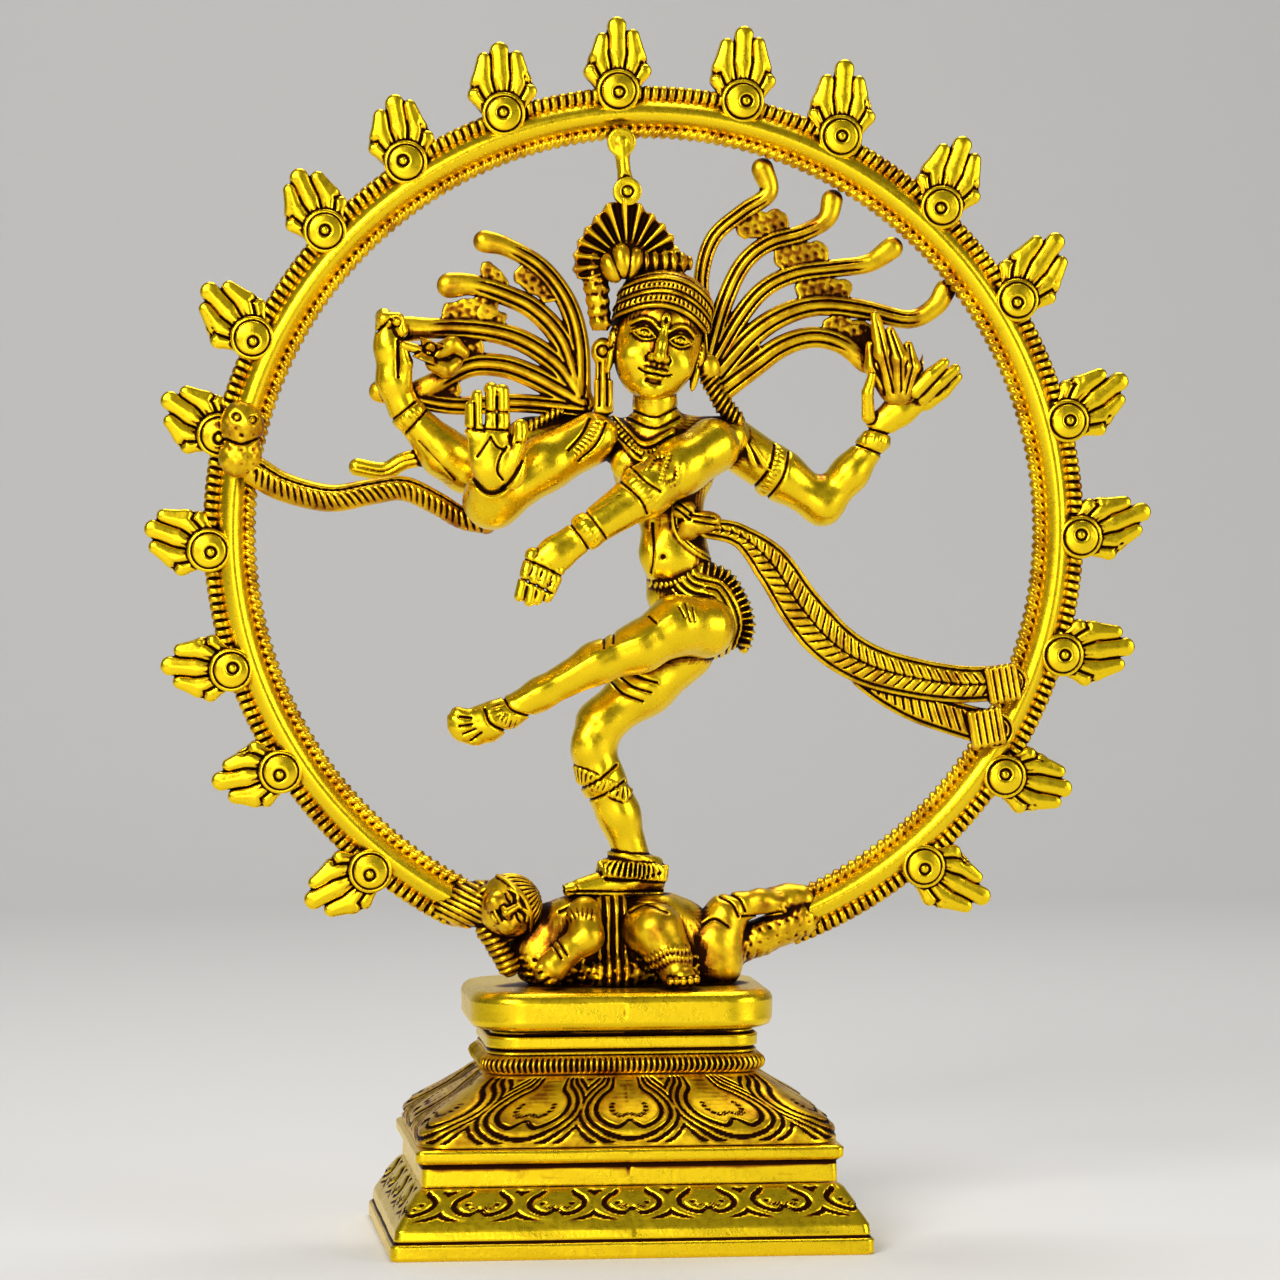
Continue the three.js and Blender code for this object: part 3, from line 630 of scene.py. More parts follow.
def petals(count, width, height, middle, cleft):
    """Relief of heart-shaped petals, one at the middle of the front, in millimetres of the widest row."""
    def relief(walked, total, depth):
        pitch = total / count
        x = (walked + pitch / 2) % pitch - pitch / 2
        h = depth * height
        bulb = (np.hypot(x / width, (h - middle) / (height * 0.33)) - 1) * height * 0.33
        stem = np.maximum(np.abs(x) - width * 0.5, h - middle)
        edge = blend(bulb, stem, 1.2)
        dip = cleft * hump(x, width * 0.2)
        heart = edge + dip * np.clip((h - middle) / (height * 0.3), 0, 1)
        push = 0.42 / (1 + np.exp(heart / 0.25)) - 0.5 * hump(heart - 0.1, 0.26)
        for line, deep in ((1.35, 0.45), (2.3, 0.4), (3.2, 0.3)):
            push = push - deep * hump(edge - line, 0.26)
        dots = hump(heart + height * 0.15, 0.24) * (np.cos(np.arctan2(h - middle, x) * 24) > 0)
        push = push - 0.3 * dots * (h > middle - height * 0.06)
        return push * np.clip(h / 0.6, 0, 1) * np.clip((height - h) / 0.6, 0, 1)
    return relief


def half_sizes(node, grow=0.0):
    low, high = box_mm(node)
    return (high[0] - low[0]) / 2 + grow, (high[1] - low[1]) / 2 + grow


def make_pedestal():
    foot_x, foot_y = half_sizes("pedestal_foot")
    plate_x, plate_y = half_sizes("pedestal_riser")
    cone_x, cone_y = half_sizes("lotus_cone")
    bead_x, bead_y = half_sizes("bead_ring")
    neck_x, neck_y = half_sizes("pedestal_neck")
    slab_x, slab_y = half_sizes("pedestal_slab")
    z = {node: (box_mm(node)[0][2], box_mm(node)[1][2]) for node in
         ("pedestal_foot", "pedestal_riser", "lotus_cone", "bead_ring", "pedestal_neck", "pedestal_slab")}
    foot, skirt = z["pedestal_foot"]
    slope, petal_height, line_at = 11.4, 5.6, 8.6
    skirt_petals = petals(20, 4.6, petal_height, 2.6, 1.6)

    def skirt_relief(walked, total, depth):
        """Petals on the upper part of the slope, and one line round it below them."""
        high = np.clip(depth * slope / petal_height, 0, 1)
        lined = 0.3 * hump(depth * slope - line_at, 0.25)
        return skirt_petals(walked, total, high) - lined if depth < 0.5 else np.full(len(walked), -lined)

    make_tier("pedestal_foot_cast", "pedestal_foot", "polished_brass", [
        (foot_x - 0.3, foot_y - 0.3, 1.2, foot), (foot_x, foot_y, 1.4, foot + 0.4),
        (foot_x, foot_y, 1.4, foot + 2.4), (foot_x - 0.5, foot_y - 0.5, 1.3, foot + 3.0),
        (foot_x - 0.8, foot_y - 0.8, 1.3, foot + 4.8), (foot_x - 1.8, foot_y - 1.8, 1.3, foot + 6.4),
        (foot_x - 3.4, foot_y - 3.4, 1.3, foot + 8.6), (plate_x - 0.8, plate_y - 0.8, 1.2, skirt)],
        relief=skirt_relief, step=0.24)
    low, top = z["pedestal_riser"]
    make_tier("pedestal_riser_cast", "pedestal_riser", "polished_brass", [
        (plate_x - 1.0, plate_y - 1.0, 1.0, low), (plate_x - 1.1, plate_y - 1.1, 1.0, low + 3.4),
        (plate_x - 0.5, plate_y - 0.5, 1.0, low + 3.8), (plate_x, plate_y, 1.2, low + 4.2),
        (plate_x, plate_y, 1.2, top - 0.4), (plate_x - 0.5, plate_y - 0.5, 1.0, top)], step=0.3)
    low, top = z["lotus_cone"]
    rise = top - low
    sweep = [(0.0, 0.0), (0.0, 0.14), (0.03, 0.24), (0.14, 0.36),
             (0.34, 0.5), (0.58, 0.66), (0.82, 0.84), (1.0, 1.0)]
    make_tier("lotus_cone_cast", "lotus_cone", "aged_brass", [
        (cone_x + (neck_x - cone_x) * k, cone_y + (neck_y - cone_y) * k, 5.5 - 0.5 * k, low + rise * h)
        for k, h in sweep], relief=petals(12, 6.2, 13.4, 6.6, 2.2), step=0.24, pitch=0.27)
    low, top = z["bead_ring"]

    def beads(walked, total, depth):
        count = int(total / 0.95)
        return 0.3 * np.cos(walked / total * count * 2 * math.pi) * math.sin(math.pi * depth) ** 0.5
    make_tier("bead_ring_cast", "bead_ring", "aged_brass", [
        (bead_x - 0.9, bead_y - 0.9, 4.6, low), (bead_x - 0.2, bead_y - 0.2, 5, low + 0.7),
        (bead_x, bead_y, 5, (low + top) / 2), (bead_x - 0.2, bead_y - 0.2, 5, top - 0.7),
        (bead_x - 0.9, bead_y - 0.9, 4.6, top)], relief=beads, step=0.22, pitch=0.16)
    low, top = z["pedestal_neck"]
    make_tier("pedestal_neck_cast", "pedestal_neck", "polished_brass", [
        (neck_x - 0.2, neck_y - 0.2, 5, low), (neck_x - 0.2, neck_y - 0.2, 5, low + 0.3),
        (neck_x - 0.7, neck_y - 0.7, 5, low + 0.5), (neck_x - 0.7, neck_y - 0.7, 5, low + 0.8),
        (neck_x - 0.1, neck_y - 0.1, 5, low + 1.0), (neck_x - 0.1, neck_y - 0.1, 5, top - 0.9),
        (neck_x - 0.8, neck_y - 0.8, 5, top - 0.6), (neck_x - 0.8, neck_y - 0.8, 5, top)], bore=2.3)
    low, top = z["pedestal_slab"]
    make_tier("pedestal_slab_cast", "pedestal_slab", "polished_brass", [
        (slab_x - 1.4, slab_y - 1.4, 7.5, low), (slab_x - 0.4, slab_y - 0.4, 8.2, low + 0.4),
        (slab_x, slab_y, 8.5, low + 1.2), (slab_x, slab_y, 8.5, top - 1.6),
        (slab_x - 0.35, slab_y - 0.35, 8.2, top - 0.8), (slab_x - 1.1, slab_y - 1.1, 7.5, top - 0.2),
        (slab_x - 2.0, slab_y - 2.0, 7, top)], bore=2.3)


# ---- dancer: body and legs -----------------------------------------------------------------------
def torso_shape(p):
    d = limb(p, [(4.8, -0.4, -10.4, 5.0), (5.1, -0.8, -4.5, 4.7), (4.1, -1, 1.9, 5.2)], 2.0)
    d = blend(d, egg(p, (2.7, -1, 10.8), (8.6, 5.6, 8.6)), 2.5)
    d = blend(d, bar(p, vec(-8.2, -0.4, 15.1), vec(13.5, -0.4, 15.4), 3.5, 3.6), 2.0)
    d = blend(d, bar(p, vec(1.2, -1.2, 14.8), vec(1.0, -2.6, 21.7), 4.1, 3.7), 1.6)
    d = blend(d, egg(p, (-2.2, -4.4, 11.1), (4.4, 2.6, 3.6)), 1.4)
    d = blend(d, egg(p, (2.4, -3.6, -3.7), (4.2, 2.9, 4.2)), 2.0)
    d = engrave(d, p, curve([(-3.1, 20.0), (0.6, 18.7), (4.6, 20.4)], 5), 0.25, 0.28, 0)
    d = engrave(d, p, curve([(-3.4, 18.4), (0.6, 16.9), (4.9, 18.7)], 5), 0.25, 0.28, 0)
    for drop, wide, spacing in ((0, 0.7, 0.8), (9, 0.45, 0), (-9, 0.45, 0)):
        chain = [(-7.3, 19.7), (-4.2, 15.4), (-1.1, 12.8), (3.5, 14.8)]
        chain = curve([(x, z - 0.166 * drop) for x, z in chain], 6)
        d = emboss(d, p, chain, wide, 0.5, 0, spacing)
    d = engrave(d, p, curve([(-7.3, 20.4), (-3.8, 16.2), (-1.0, 13.6), (3.5, 15.6)], 6), 0.18, 0.4, 0)
    d = engrave(d, p, curve([(-7.6, 18.9), (-4.5, 14.6), (-1.1, 12.0), (3.5, 13.9)], 6), 0.18, 0.4, 0)
    d = blend(d, egg(p, (-0.6, -7, 11.1), (1.5, 0.9, 1.7)), 0.2)
    strap = curve([(3.8, 4.9), (4.1, 0.4), (6.5, -2.5), (10.6, -5.0)], 5)
    d = emboss(d, p, strap, 0.55, 0.4, 0)
    d = engrave(d, p, strap, 0.16, 0.3, 0)
    d = emboss(d, p, curve([(-1.7, 1.6), (-0.7, -2.5), (0.3, -7.3)], 5), 0.9, 0.4, 0)
    d = engrave(d, p, curve([(0.4, 1.2), (0.4, -3.0), (0.1, -7.0)], 5), 0.2, 0.4, 0)
    d = emboss(d, p, curve([(-1.4, -8.6), (2.8, -9.0), (6.8, -7.3), (11.9, -5.0)], 5), 0.5, 0.4, 0, 0.8)
    navel = np.sqrt(((p - vec(1.9, -6.6, -4.3)) ** 2).sum(1))
    return d + 0.5 * hump(navel, 0.5)


def hips_shape(p):
    d = egg(p, (9.1, -0.6, -13.8), (7.8, 6.4, 7.4))
    d = blend(d, bar(p, vec(6.1, -0.6, -8.4), vec(9.8, -0.4, -15.4), 5.4, 6.0), 2.0)
    rim = curve([(8.5, -6.1), (12.8, -7.4), (15.5, -11.4), (16.7, -15.7), (15.9, -19.7)], 6)
    near, along, _ = traced(p, rim)
    frill = np.hypot(near, 0.4 * np.abs(p[:, 1] + 2.0)) - 1.0 - 0.28 * np.cos(along * 2 * math.pi / 1.15)
    d = blend(d, frill, 0.6)
    for gap, deep in ((2.0, 0.4), (3.1, 0.34), (4.4, 0.4), (5.6, 0.3)):
        d = d + deep * hump(near - gap, 0.24) * front_of(p, 1)
    beads = curve([(8.1, -8.7), (10.1, -11.6), (10.8, -15.3), (10.1, -18.6)], 5)
    return emboss(d, p, beads, 0.45, 0.4, 0, 1.0)


def lifted_leg_shape(p):
    d = limb(p, [(8.9, -5.2, -15.9, 5.2), (3.8, -8.4, -15.5, 4.7), (-2.3, -9.8, -19.0, 4.0),
                 (-9.6, -10.6, -21.6, 3.3), (-18.9, -11, -26.6, 2.5), (-23.5, -11, -29.2, 2.5)], 1.6)
    foot = limb(p, [(-24.5, -11, -29.7, 2.5), (-27.8, -11.6, -31.3, 3.0), (-31.5, -12.2, -31.7, 2.6)],
                1.2, 0.85)
    d = blend(d, foot, 0.8)
    for toe in ((-32.1, -12.4, -29.6), (-32.8, -12.6, -30.7), (-32.5, -12.6, -32.0),
                (-31.5, -12.4, -33.2), (-30.0, -12, -33.9)):
        d = blend(d, egg(p, toe, (1.6, 1.3, 1.0), turned("y", -20)), 0.7)
    for path in ([(-32.3, -30.1), (-30.5, -30.3)], [(-32.4, -31.6), (-30.3, -31.3)],
                 [(-31.8, -32.9), (-29.8, -32.1)], [(-30.5, -34.0), (-28.8, -32.7)]):
        d = engrave(d, p, path, 0.2, 0.45, -8)
    heel = curve([(-28.2, -29.0), (-27.3, -31.2), (-24.2, -32.8)], 5)
    calf = curve([(-24.9, -27.2), (-23.7, -29.1), (-20.1, -30.3)], 5)
    anklet = curve([(-26.5, -28.0), (-25.6, -30.3), (-22.3, -31.6)], 5)
    d = emboss(d, p, anklet, 1.3, 0.35, -8, 0.8)
    d = engrave(d, p, heel, 0.24, 0.55, -8)
    d = engrave(d, p, calf, 0.24, 0.5, -8)
    ridge = curve([(2.6, -13.7), (-2.6, -17.3), (-8.6, -19.6), (-15.8, -23.8), (-22.4, -27.3)], 6)
    d = emboss(d, p, ridge, 0.9, 0.3, -8)
    strokes = ([(3.8, -12.4), (4.6, -14.0)], [(4.9, -11.9), (5.6, -14.7)],
               [(6.1, -12.4), (6.4, -14.7)], [(-8.2, -16.6), (-8.7, -19.1)],
               [(-6.6, -16.1), (-7.1, -18.3)], [(-1.0, -14.0), (0.0, -15.0)])
    for path in strokes:
        d = engrave(d, p, path, 0.18, 0.35, -8)
    return d


def standing_leg_shape(p):
    d = limb(p, [(6.1, -0.6, -20.1, 5.0), (-0.7, -2, -25.6, 4.8), (-8.2, -3.4, -31.8, 3.6),
                 (-9.4, -3.6, -36.4, 3.2), (-7.9, -3.4, -41.1, 3.4), (-5.1, -2.8, -46.8, 3.2),
                 (-2.7, -2, -54.2, 2.9)], 2.2)
    d = blend(d, egg(p, (-10.6, -5.2, -35.0), (2.4, 2.2, 3.2)), 1.4)
    d = blend(d, egg(p, (-5.2, -0.6, -45.9), (2.8, 3.4, 5.2), turned("y", 18)), 1.6)
    foot = limb(p, [(0.0, -1.6, -57.5, 3.0), (-5.1, -2.6, -58.1, 2.8), (-11.6, -4.2, -59.1, 1.7)], 1.4)
    slab = limb(p, [(1.0, -1.4, -59.7, 1.7), (-6.1, -2.8, -59.6, 2.0), (-13.3, -4.6, -59.3, 1.3)], 0.8)
    foot = blend(foot, slab, 0.5)
    d = blend(d, foot, 1.2)
    d = np.maximum(d, -60.5 - p[:, 2])
    for shift in (-1.9, -0.7, 0.5, 1.7):
        aside = vec(0, shift, 0)
        toe = bar(p, vec(-13.0, -4.4, -59.0) + aside, vec(-14.7, -4.8, -59.2) + aside, 0.75, 0.62)
        d = blend(d, toe, 0.2)
    d = band(d, p, (-2.7, -2, -56.2), (0.1, 0, 1), 1.35, 1.5, 6.0, 34)
    d = band(d, p, (-2.6, -2, -54.2), (0.1, 0, 1), 0.7, 0.8, 5.0)
    d = engrave(d, p, curve([(-7.5, -57.5), (-3.2, -57.7), (1.6, -56.6)], 5), 0.25, 0.5, 3)
    d = band(d, p, (-8.2, -3.4, -41.9), (0.36, 0, 0.93), 1.3, 0.4, 5.5, 30)
    for path in (curve([(-11.9, -42.7), (-8.9, -41.0), (-5.8, -38.6)], 4),
                 curve([(-10.9, -44.8), (-7.9, -43.4), (-4.5, -41.3)], 4)):
        d = engrave(d, p, path, 0.26, 0.5, 3)
    for path in (curve([(-3.9, -22.8), (-2.0, -24.1), (0.8, -25.0)], 4),
                 curve([(-5.1, -24.1), (-3.0, -25.7), (-0.2, -26.6)], 4),
                 curve([(-6.6, -24.7), (-4.9, -26.7), (-1.5, -28.1)], 4)):
        d = engrave(d, p, path, 0.24, 0.42, 3)
    return engrave(d, p, [(-14.1, -59.4), (2.3, -59.8)], 0.2, 0.3, 3)


# ---- dancer: head --------------------------------------------------------------------------------
HEAD = vec(1.1, -3.6, 30.1)
HEAD_TURN = turned("y", -12)


def in_head(p):
    """Points in the head's own upright millimetres: x to the viewer's right, z up, faces along -y."""
    return (p - HEAD) @ HEAD_TURN


def brow_line(q):
    """Height of the crown's lower edge: arched over the brow, low at the nape."""
    return 6.6 - 0.052 * q[:, 0] ** 2 - 0.42 * np.clip(q[:, 1] + 1.0, 0, None)


def head_shape(p):
    q = in_head(p)
    d = egg(q, (0, 0.4, 0.6), (7.2, 6.2, 8.4))
    d = blend(d, egg(q, (0, -1.6, -3.4), (5.5, 4.4, 5.2)), 2.2)
    d = blend(d, egg(q, (0, -4.2, -6.9), (2.1, 1.7, 1.6)), 1.5)
    d = blend(d, egg(q, (0, -0.4, 4.6), (6.4, 4.9, 4.6)), 1.6)
    mirrored = q.copy()
    mirrored[:, 0] = np.abs(q[:, 0])
    d = blend(d, egg(mirrored, (3.6, -3.6, -2.2), (2.5, 2.0, 2.3)), 1.6)
    d = cut(d, egg(mirrored, (3.0, -7.3, 2.0), (2.3, 1.5, 1.3)), 0.9)
    d = blend(d, egg(mirrored, (3.0, -4.6, 1.75), (1.75, 1.5, 0.95)), 0.25)
    arch = curve([(0.9, 2.9), (2.2, 4.0), (3.8, 4.1), (5.4, 3.1)], 5)
    d = emboss(d, mirrored, arch, 0.32, 0.42, 0)
    d = engrave(d, mirrored, curve([(1.3, 2.6), (3.0, 3.4), (5.2, 2.6)], 5), 0.22, 0.2, 0)
    upper_lid = curve([(1.2, 1.5), (2.2, 2.4), (3.4, 2.6), (5.0, 1.7)], 5)
    lower_lid = curve([(1.2, 1.5), (2.4, 0.9), (3.6, 0.85), (5.0, 1.7)], 5)
    d = emboss(d, mirrored, upper_lid, 0.2, 0.36, 0)
    d = emboss(d, mirrored, lower_lid, 0.18, 0.28, 0)
    d = engrave(d, mirrored, curve([(1.3, 1.45), (2.4, 1.25), (3.7, 1.25), (4.8, 1.65)], 5), 0.16, 0.16, 0)
    pupil = np.hypot(mirrored[:, 0] - 3.05, q[:, 2] - 1.75)
    iris = 0.22 * hump(pupil - 0.62, 0.13) + 0.2 * hump(pupil, 0.2)
    d = d + iris * front_of(q, 0)
    nose = limb(q, [(0, -5.6, 3.4, 0.75), (0, -6.6, 0.6, 0.8), (0, -7.3, -1.5, 1.05)], 0.8)
    nose = blend(nose, egg(mirrored, (1.05, -6.5, -1.75), (0.85, 0.95, 0.68)), 0.35)
    d = blend(d, nose, 0.55)
    d = cut(d, egg(mirrored, (0.62, -7.3, -2.6), (0.34, 0.6, 0.34)), 0.15)
    d = engrave(d, mirrored, curve([(1.7, -1.3), (2.1, -1.9), (1.9, -2.5)], 4), 0.22, 0.22, 0)
    lips = egg(mirrored, (0.75, -5.75, -3.95), (1.35, 1.0, 0.5))
    lips = blend(lips, egg(q, (0, -5.7, -4.05), (2.3, 0.8, 0.42)), 0.3)
    lips = blend(lips, egg(q, (0, -5.7, -4.85), (1.6, 1.0, 0.58)), 0.1)
    d = blend(d, lips, 0.3)
    mouth = curve([(0.0, -4.42), (1.0, -4.5), (2.0, -4.32), (2.75, -4.0)], 5)
    d = engrave(d, mirrored, mouth, 0.15, 0.5, 0)
    d = engrave(d, q, curve([(-1.1, -5.75), (0, -5.95), (1.1, -5.75)], 4), 0.35, 0.25, 0)
    d = engrave(d, q, [(0, -2.9), (0, -3.4)], 0.25, 0.15, 0)
    mark = np.abs(np.hypot(q[:, 0] / 0.55, (q[:, 2] - 4.5) / 1.0) - 1) * 0.6
    d = d - 0.22 * hump(mark, 0.2) * front_of(q, 0)
    ear = egg(mirrored, (7.3, 0.2, 0.0), (0.9, 1.5, 2.6))
    ear = blend(ear, egg(mirrored, (7.2, -0.4, -3.4), (0.7, 1.0, 2.4)), 0.5)
    d = blend(d, ear, 0.4)
    whorl = np.abs(np.hypot((q[:, 1] + 0.6) / 0.8, q[:, 2] / 1.6) - 1)
    d = d + 0.25 * hump(whorl, 0.25) * (mirrored[:, 0] > 7.2)
    return np.maximum(d, q[:, 2] - brow_line(q) - 0.8)


def diadem_shape(p):
    q = in_head(p)
    half_x = 7.9 - 0.05 * (q[:, 2] - 4)
    half_y = 6.3 - 0.12 * (q[:, 2] - 6.6)
    wall = (np.hypot(q[:, 0] / half_x, (q[:, 1] - 0.6) / half_y) - 1) * 6.6
    roof = q[:, 2] - 13.2 + 0.055 * q[:, 0] ** 2 + 0.05 * q[:, 1] ** 2
    d = -blend(-wall, -roof, 1.2)
    d = np.maximum(d, brow_line(q) - q[:, 2])
    rise = q[:, 2] - brow_line(q)
    turn = np.arctan2(q[:, 0], -(q[:, 1] - 0.6))
    front = np.clip((np.abs(turn) - 2.0) / -0.3, 0, 1)
    for line, height, width in ((0.4, 0.35, 0.35), (1.6, 0.3, 0.7), (2.7, 0.45, 0.35),
                                (3.9, 0.3, 0.7), (5.1, 0.45, 0.4)):
        d = d - front * height * hump(rise - line, width)
    for line in (0.85, 2.3, 3.2, 4.6, 5.6):
        d = d + front * 0.32 * hump(rise - line, 0.15)
    ticks = 0.5 + 0.5 * np.cos(turn * 50)
    d = d + front * 0.4 * ticks * (hump(rise - 1.6, 0.45) + hump(rise - 3.9, 0.45))
    lump = np.sin(turn * 9) * np.sin(q[:, 2] * 2.2)
    d = d - 0.25 * lump * np.clip((rise - 6.0) / 0.5, 0, 1)
    knot = np.hypot(q[:, 0], rise - 2.6)
    d = d - 0.35 * hump(knot, 0.8) * front_of(q, 0)
    curls = np.cos(turn * 22) * np.clip((np.abs(turn) - 1.9) / 0.3, 0, 1)
    return d - 0.22 * curls


def crest_shape(p):
    hub_x, hub_z = -3.8, 44.1
    x, z = p[:, 0] - hub_x, p[:, 2] - hub_z
    turn = np.arctan2(z, x)
    away = np.hypot(x, z)
    top = 8.7 + 1.9 * hump(turn - 1.66, 0.42)
    ribs = np.cos((turn - 1.62) * 23)
    inner = np.clip((away - 3.2) / 0.8, 0, 1)
    plate = np.maximum(away - top - 0.22 * ribs, np.abs(p[:, 1] + 3.0) - 1.3 - 0.5 * ribs * inner)
    d = np.maximum(plate, -2.6 - z) * 0.8
    bun = egg(p, (-6.5, -5, 43.2), (1.7, 1.9, 2.6), turned("y", 24))
    bun = blend(bun, egg(p, (-4.8, -5.4, 44.4), (1.8, 2.0, 2.9), turned("y", 6)), 0.15)
    bun = blend(bun, egg(p, (-2.9, -5.2, 44.0), (1.6, 1.9, 2.7), turned("y", -14)), 0.15)
    d = blend(d, bun, 0.2)
    lower = limb(p, [(-9.4, -2.6, 45.1, 1.9), (-8.8, -2.8, 40.5, 2.0), (-8.1, -3, 34.2, 1.8)], 0.8)
    lower = lower + 0.1 * np.cos(p[:, 2] * 3.4) + 0.06 * rough(p, 2.2)
    side = limb(p, [(0.1, -3.4, 44.1, 2.2), (3.1, -3.2, 44.1, 2.2), (5.5, -2.6, 44.2, 1.7)], 0.8)
    side = side + 0.2 * np.cos(p[:, 0] * 4.0)
    return blend(blend(d, lower, 0.5), side, 0.5)


def left_pendant_shape(p):
    path = curve([(9.6, 27.0), (10.6, 24.0), (12.6, 20.7), (15.0, 18.1)], 6)
    near, along, side = traced(p, path)
    d = np.hypot(near, p[:, 1] + 1.8) - 1.5 - 0.12 * np.sin(along * 1.1)
    d = d + 0.24 * np.cos(along * 2 * math.pi / 1.0 + side * near * 2.5)
    return blend(d, egg(p, (9.9, -2.6, 27.0), (1.9, 1.4, 2.2)), 0.4)


def right_pendant_shape(p):
    d = bar(p, vec(-7.6, -2.8, 30.6), vec(-7.8, -3, 24.0), 1.2, 1.3)
    d = blend(d, egg(p, (-7.8, -3, 29.6), (1.9, 1.3, 2.2)), 0.5)
    drop = np.maximum(np.abs(p[:, 0] + 7.6) - 1.5, np.abs(p[:, 2] - 22.2) - 2.6)
    drop = np.maximum(drop, np.abs(p[:, 1] + 3.0) - 1.1)
    drop = blend(drop, egg(p, (-7.6, -3, 20.0), (1.5, 1.2, 1.2)), 0.6)
    d = blend(d, drop, 0.5)
    curl = np.abs(from_spot(p, -7.8, 29.6) - 0.9)
    d = d + 0.4 * hump(curl, 0.22) * front_of(p, -2)
    for path in ([(-8.3, 27.6), (-8.4, 20.7)], [(-7.1, 27.6), (-7.1, 20.7)]):
        d = engrave(d, p, path, 0.2, 0.4, -2)
    return d


# ---- dancer: arms and hands ----------------------------------------------------------------------
def front_left_arm_shape(p):
    d = limb(p, [(10.3, -3.4, 13.9, 4.7), (4.7, -6.6, 10.5, 4.4), (-1.3, -9.6, 6.6, 4.0),
                 (-11.1, -12.6, 0.2, 2.9)], 2.0)
    palm = limb(p, [(-12.5, -12.8, -0.8, 2.7), (-16.5, -13.2, -3.7, 2.9), (-18.4, -13.4, -5.1, 2.7)], 1.0,
                0.62)
    d = blend(d, palm, 0.9)
    fingers = (((-20.4, -13.6, -3.7), (-21.6, -14.2, -7.1), (-22.6, -14.4, -10.5)),
               ((-19.3, -13.8, -4.8), (-20.3, -14.4, -8.0), (-21.0, -14.6, -11.3)),
               ((-17.8, -13.8, -5.8), (-18.9, -14.4, -8.5), (-19.7, -14.4, -11.1)),
               ((-16.3, -13.6, -6.4), (-17.0, -14, -8.6), (-18.0, -14, -10.7)))
    for finger in fingers:
        d = blend(d, bent(p, finger, (1.2, 1.1, 0.9), 0.2), 0.22)
        d = d + 0.2 * np.exp(-(((p - vec(*finger[1])) ** 2).sum(1) - 0.9) ** 2 / 0.1)
    for path in ([(-14.5, 1.7), (-11.1, -3.0)], [(-11.7, 3.4), (-8.3, -1.1)],
                 [(-21.7, -4.4), (-18.4, -5.8), (-15.0, -7.6)], [(-22.5, -7.5), (-19.9, -8.7),
                                                                 (-17.3, -10.0)]):
        d = engrave(d, p, path, 0.2, 0.4, -7)
    d = emboss(d, p, [(-13.0, 2.4), (-9.8, -2.0)], 1.0, 0.28, -7, 0.9)
    cuff = ([(-3.6, 10.2), (-1.9, 8.2), (0.6, 6.6)], [(-5.8, 8.2), (-2.8, 5.3), (-1.5, 3.0)])
    for path in cuff:
        d = engrave(d, p, curve(path, 4), 0.24, 0.45, -4)
    d = emboss(d, p, [(-4.4, 9.5), (-0.3, 4.0)], 1.3, 0.3, -4, 0.9)
    for path in ([(-1.5, 10.5), (0.1, 12.3), (2.1, 12.6)], [(0.8, 8.2), (1.3, 10.5), (2.0, 12.1)],
                 [(2.0, 7.6), (3.6, 8.5), (4.1, 11.2)]):
        d = emboss(d, p, curve(path, 5), 0.42, 0.4, -4, 0.7)
    d = engrave(d, p, [(-11.4, 3.0), (-6.1, 6.0)], 0.25, 0.14, -8)
    return d


def rear_left_arm_shape(p):
    d = limb(p, [(14.5, 2, 14.5, 4.2), (22.6, 2.6, 9.1, 4.0), (29.7, 2.6, 4.3, 3.3), (34.3, 2, 9.5, 2.9),
                 (38.6, 1.2, 15.1, 2.3)], 1.8)
    palm = limb(p, [(39.2, 0.8, 17.5, 2.4), (42.5, 0.4, 20.1, 2.6), (46.9, 0.2, 22.8, 2.1)], 1.2, 0.7)
    d = blend(d, palm, 0.8)
    fingers = (((45.9, -0.6, 22.1), (49.0, -1, 24.8), (51.5, -1.2, 26.8)),
               ((44.7, -1.4, 23.1), (47.2, -2, 25.8), (49.5, -2.2, 27.8)),
               ((46.9, 0.6, 21.1), (49.8, 0.4, 23.1), (52.1, 0.2, 25.5)))
    for finger in fingers:
        d = blend(d, bent(p, finger, (1.3, 1.2, 0.9), 0.2), 0.3)
    thumb = bent(p, ((37.0, -0.4, 18.8), (36.7, -1.4, 22.8), (37.4, -1.8, 25.7)), (1.15, 1.0, 0.75), 0.3)
    d = blend(d, thumb, 0.5)
    for path in ([(35.6, 17.3), (38.1, 16.6), (41.0, 15.8)], [(34.9, 14.3), (37.4, 13.3), (40.5, 12.1)]):
        d = engrave(d, p, curve(path, 4), 0.24, 0.5, 9)
    d = emboss(d, p, [(35.4, 15.8), (40.6, 14.0)], 0.9, 0.3, 9, 0.8)
    for path in ([(23.7, 12.8), (22.5, 8.8), (20.3, 5.3)], [(21.3, 14.1), (20.3, 10.5), (18.1, 7.2)]):
        d = engrave(d, p, curve(path, 4), 0.26, 0.5, 9)
    d = emboss(d, p, [(22.3, 13.5), (19.3, 6.2)], 0.9, 0.4, 9, 0.8)
    for path in (curve([(14.8, 17.4), (16.6, 13.5), (17.6, 10.8)], 4),
                 curve([(17.3, 14.4), (20.0, 10.1)], 4)):
        d = emboss(d, p, path, 0.45, 0.35, 4)
    return d


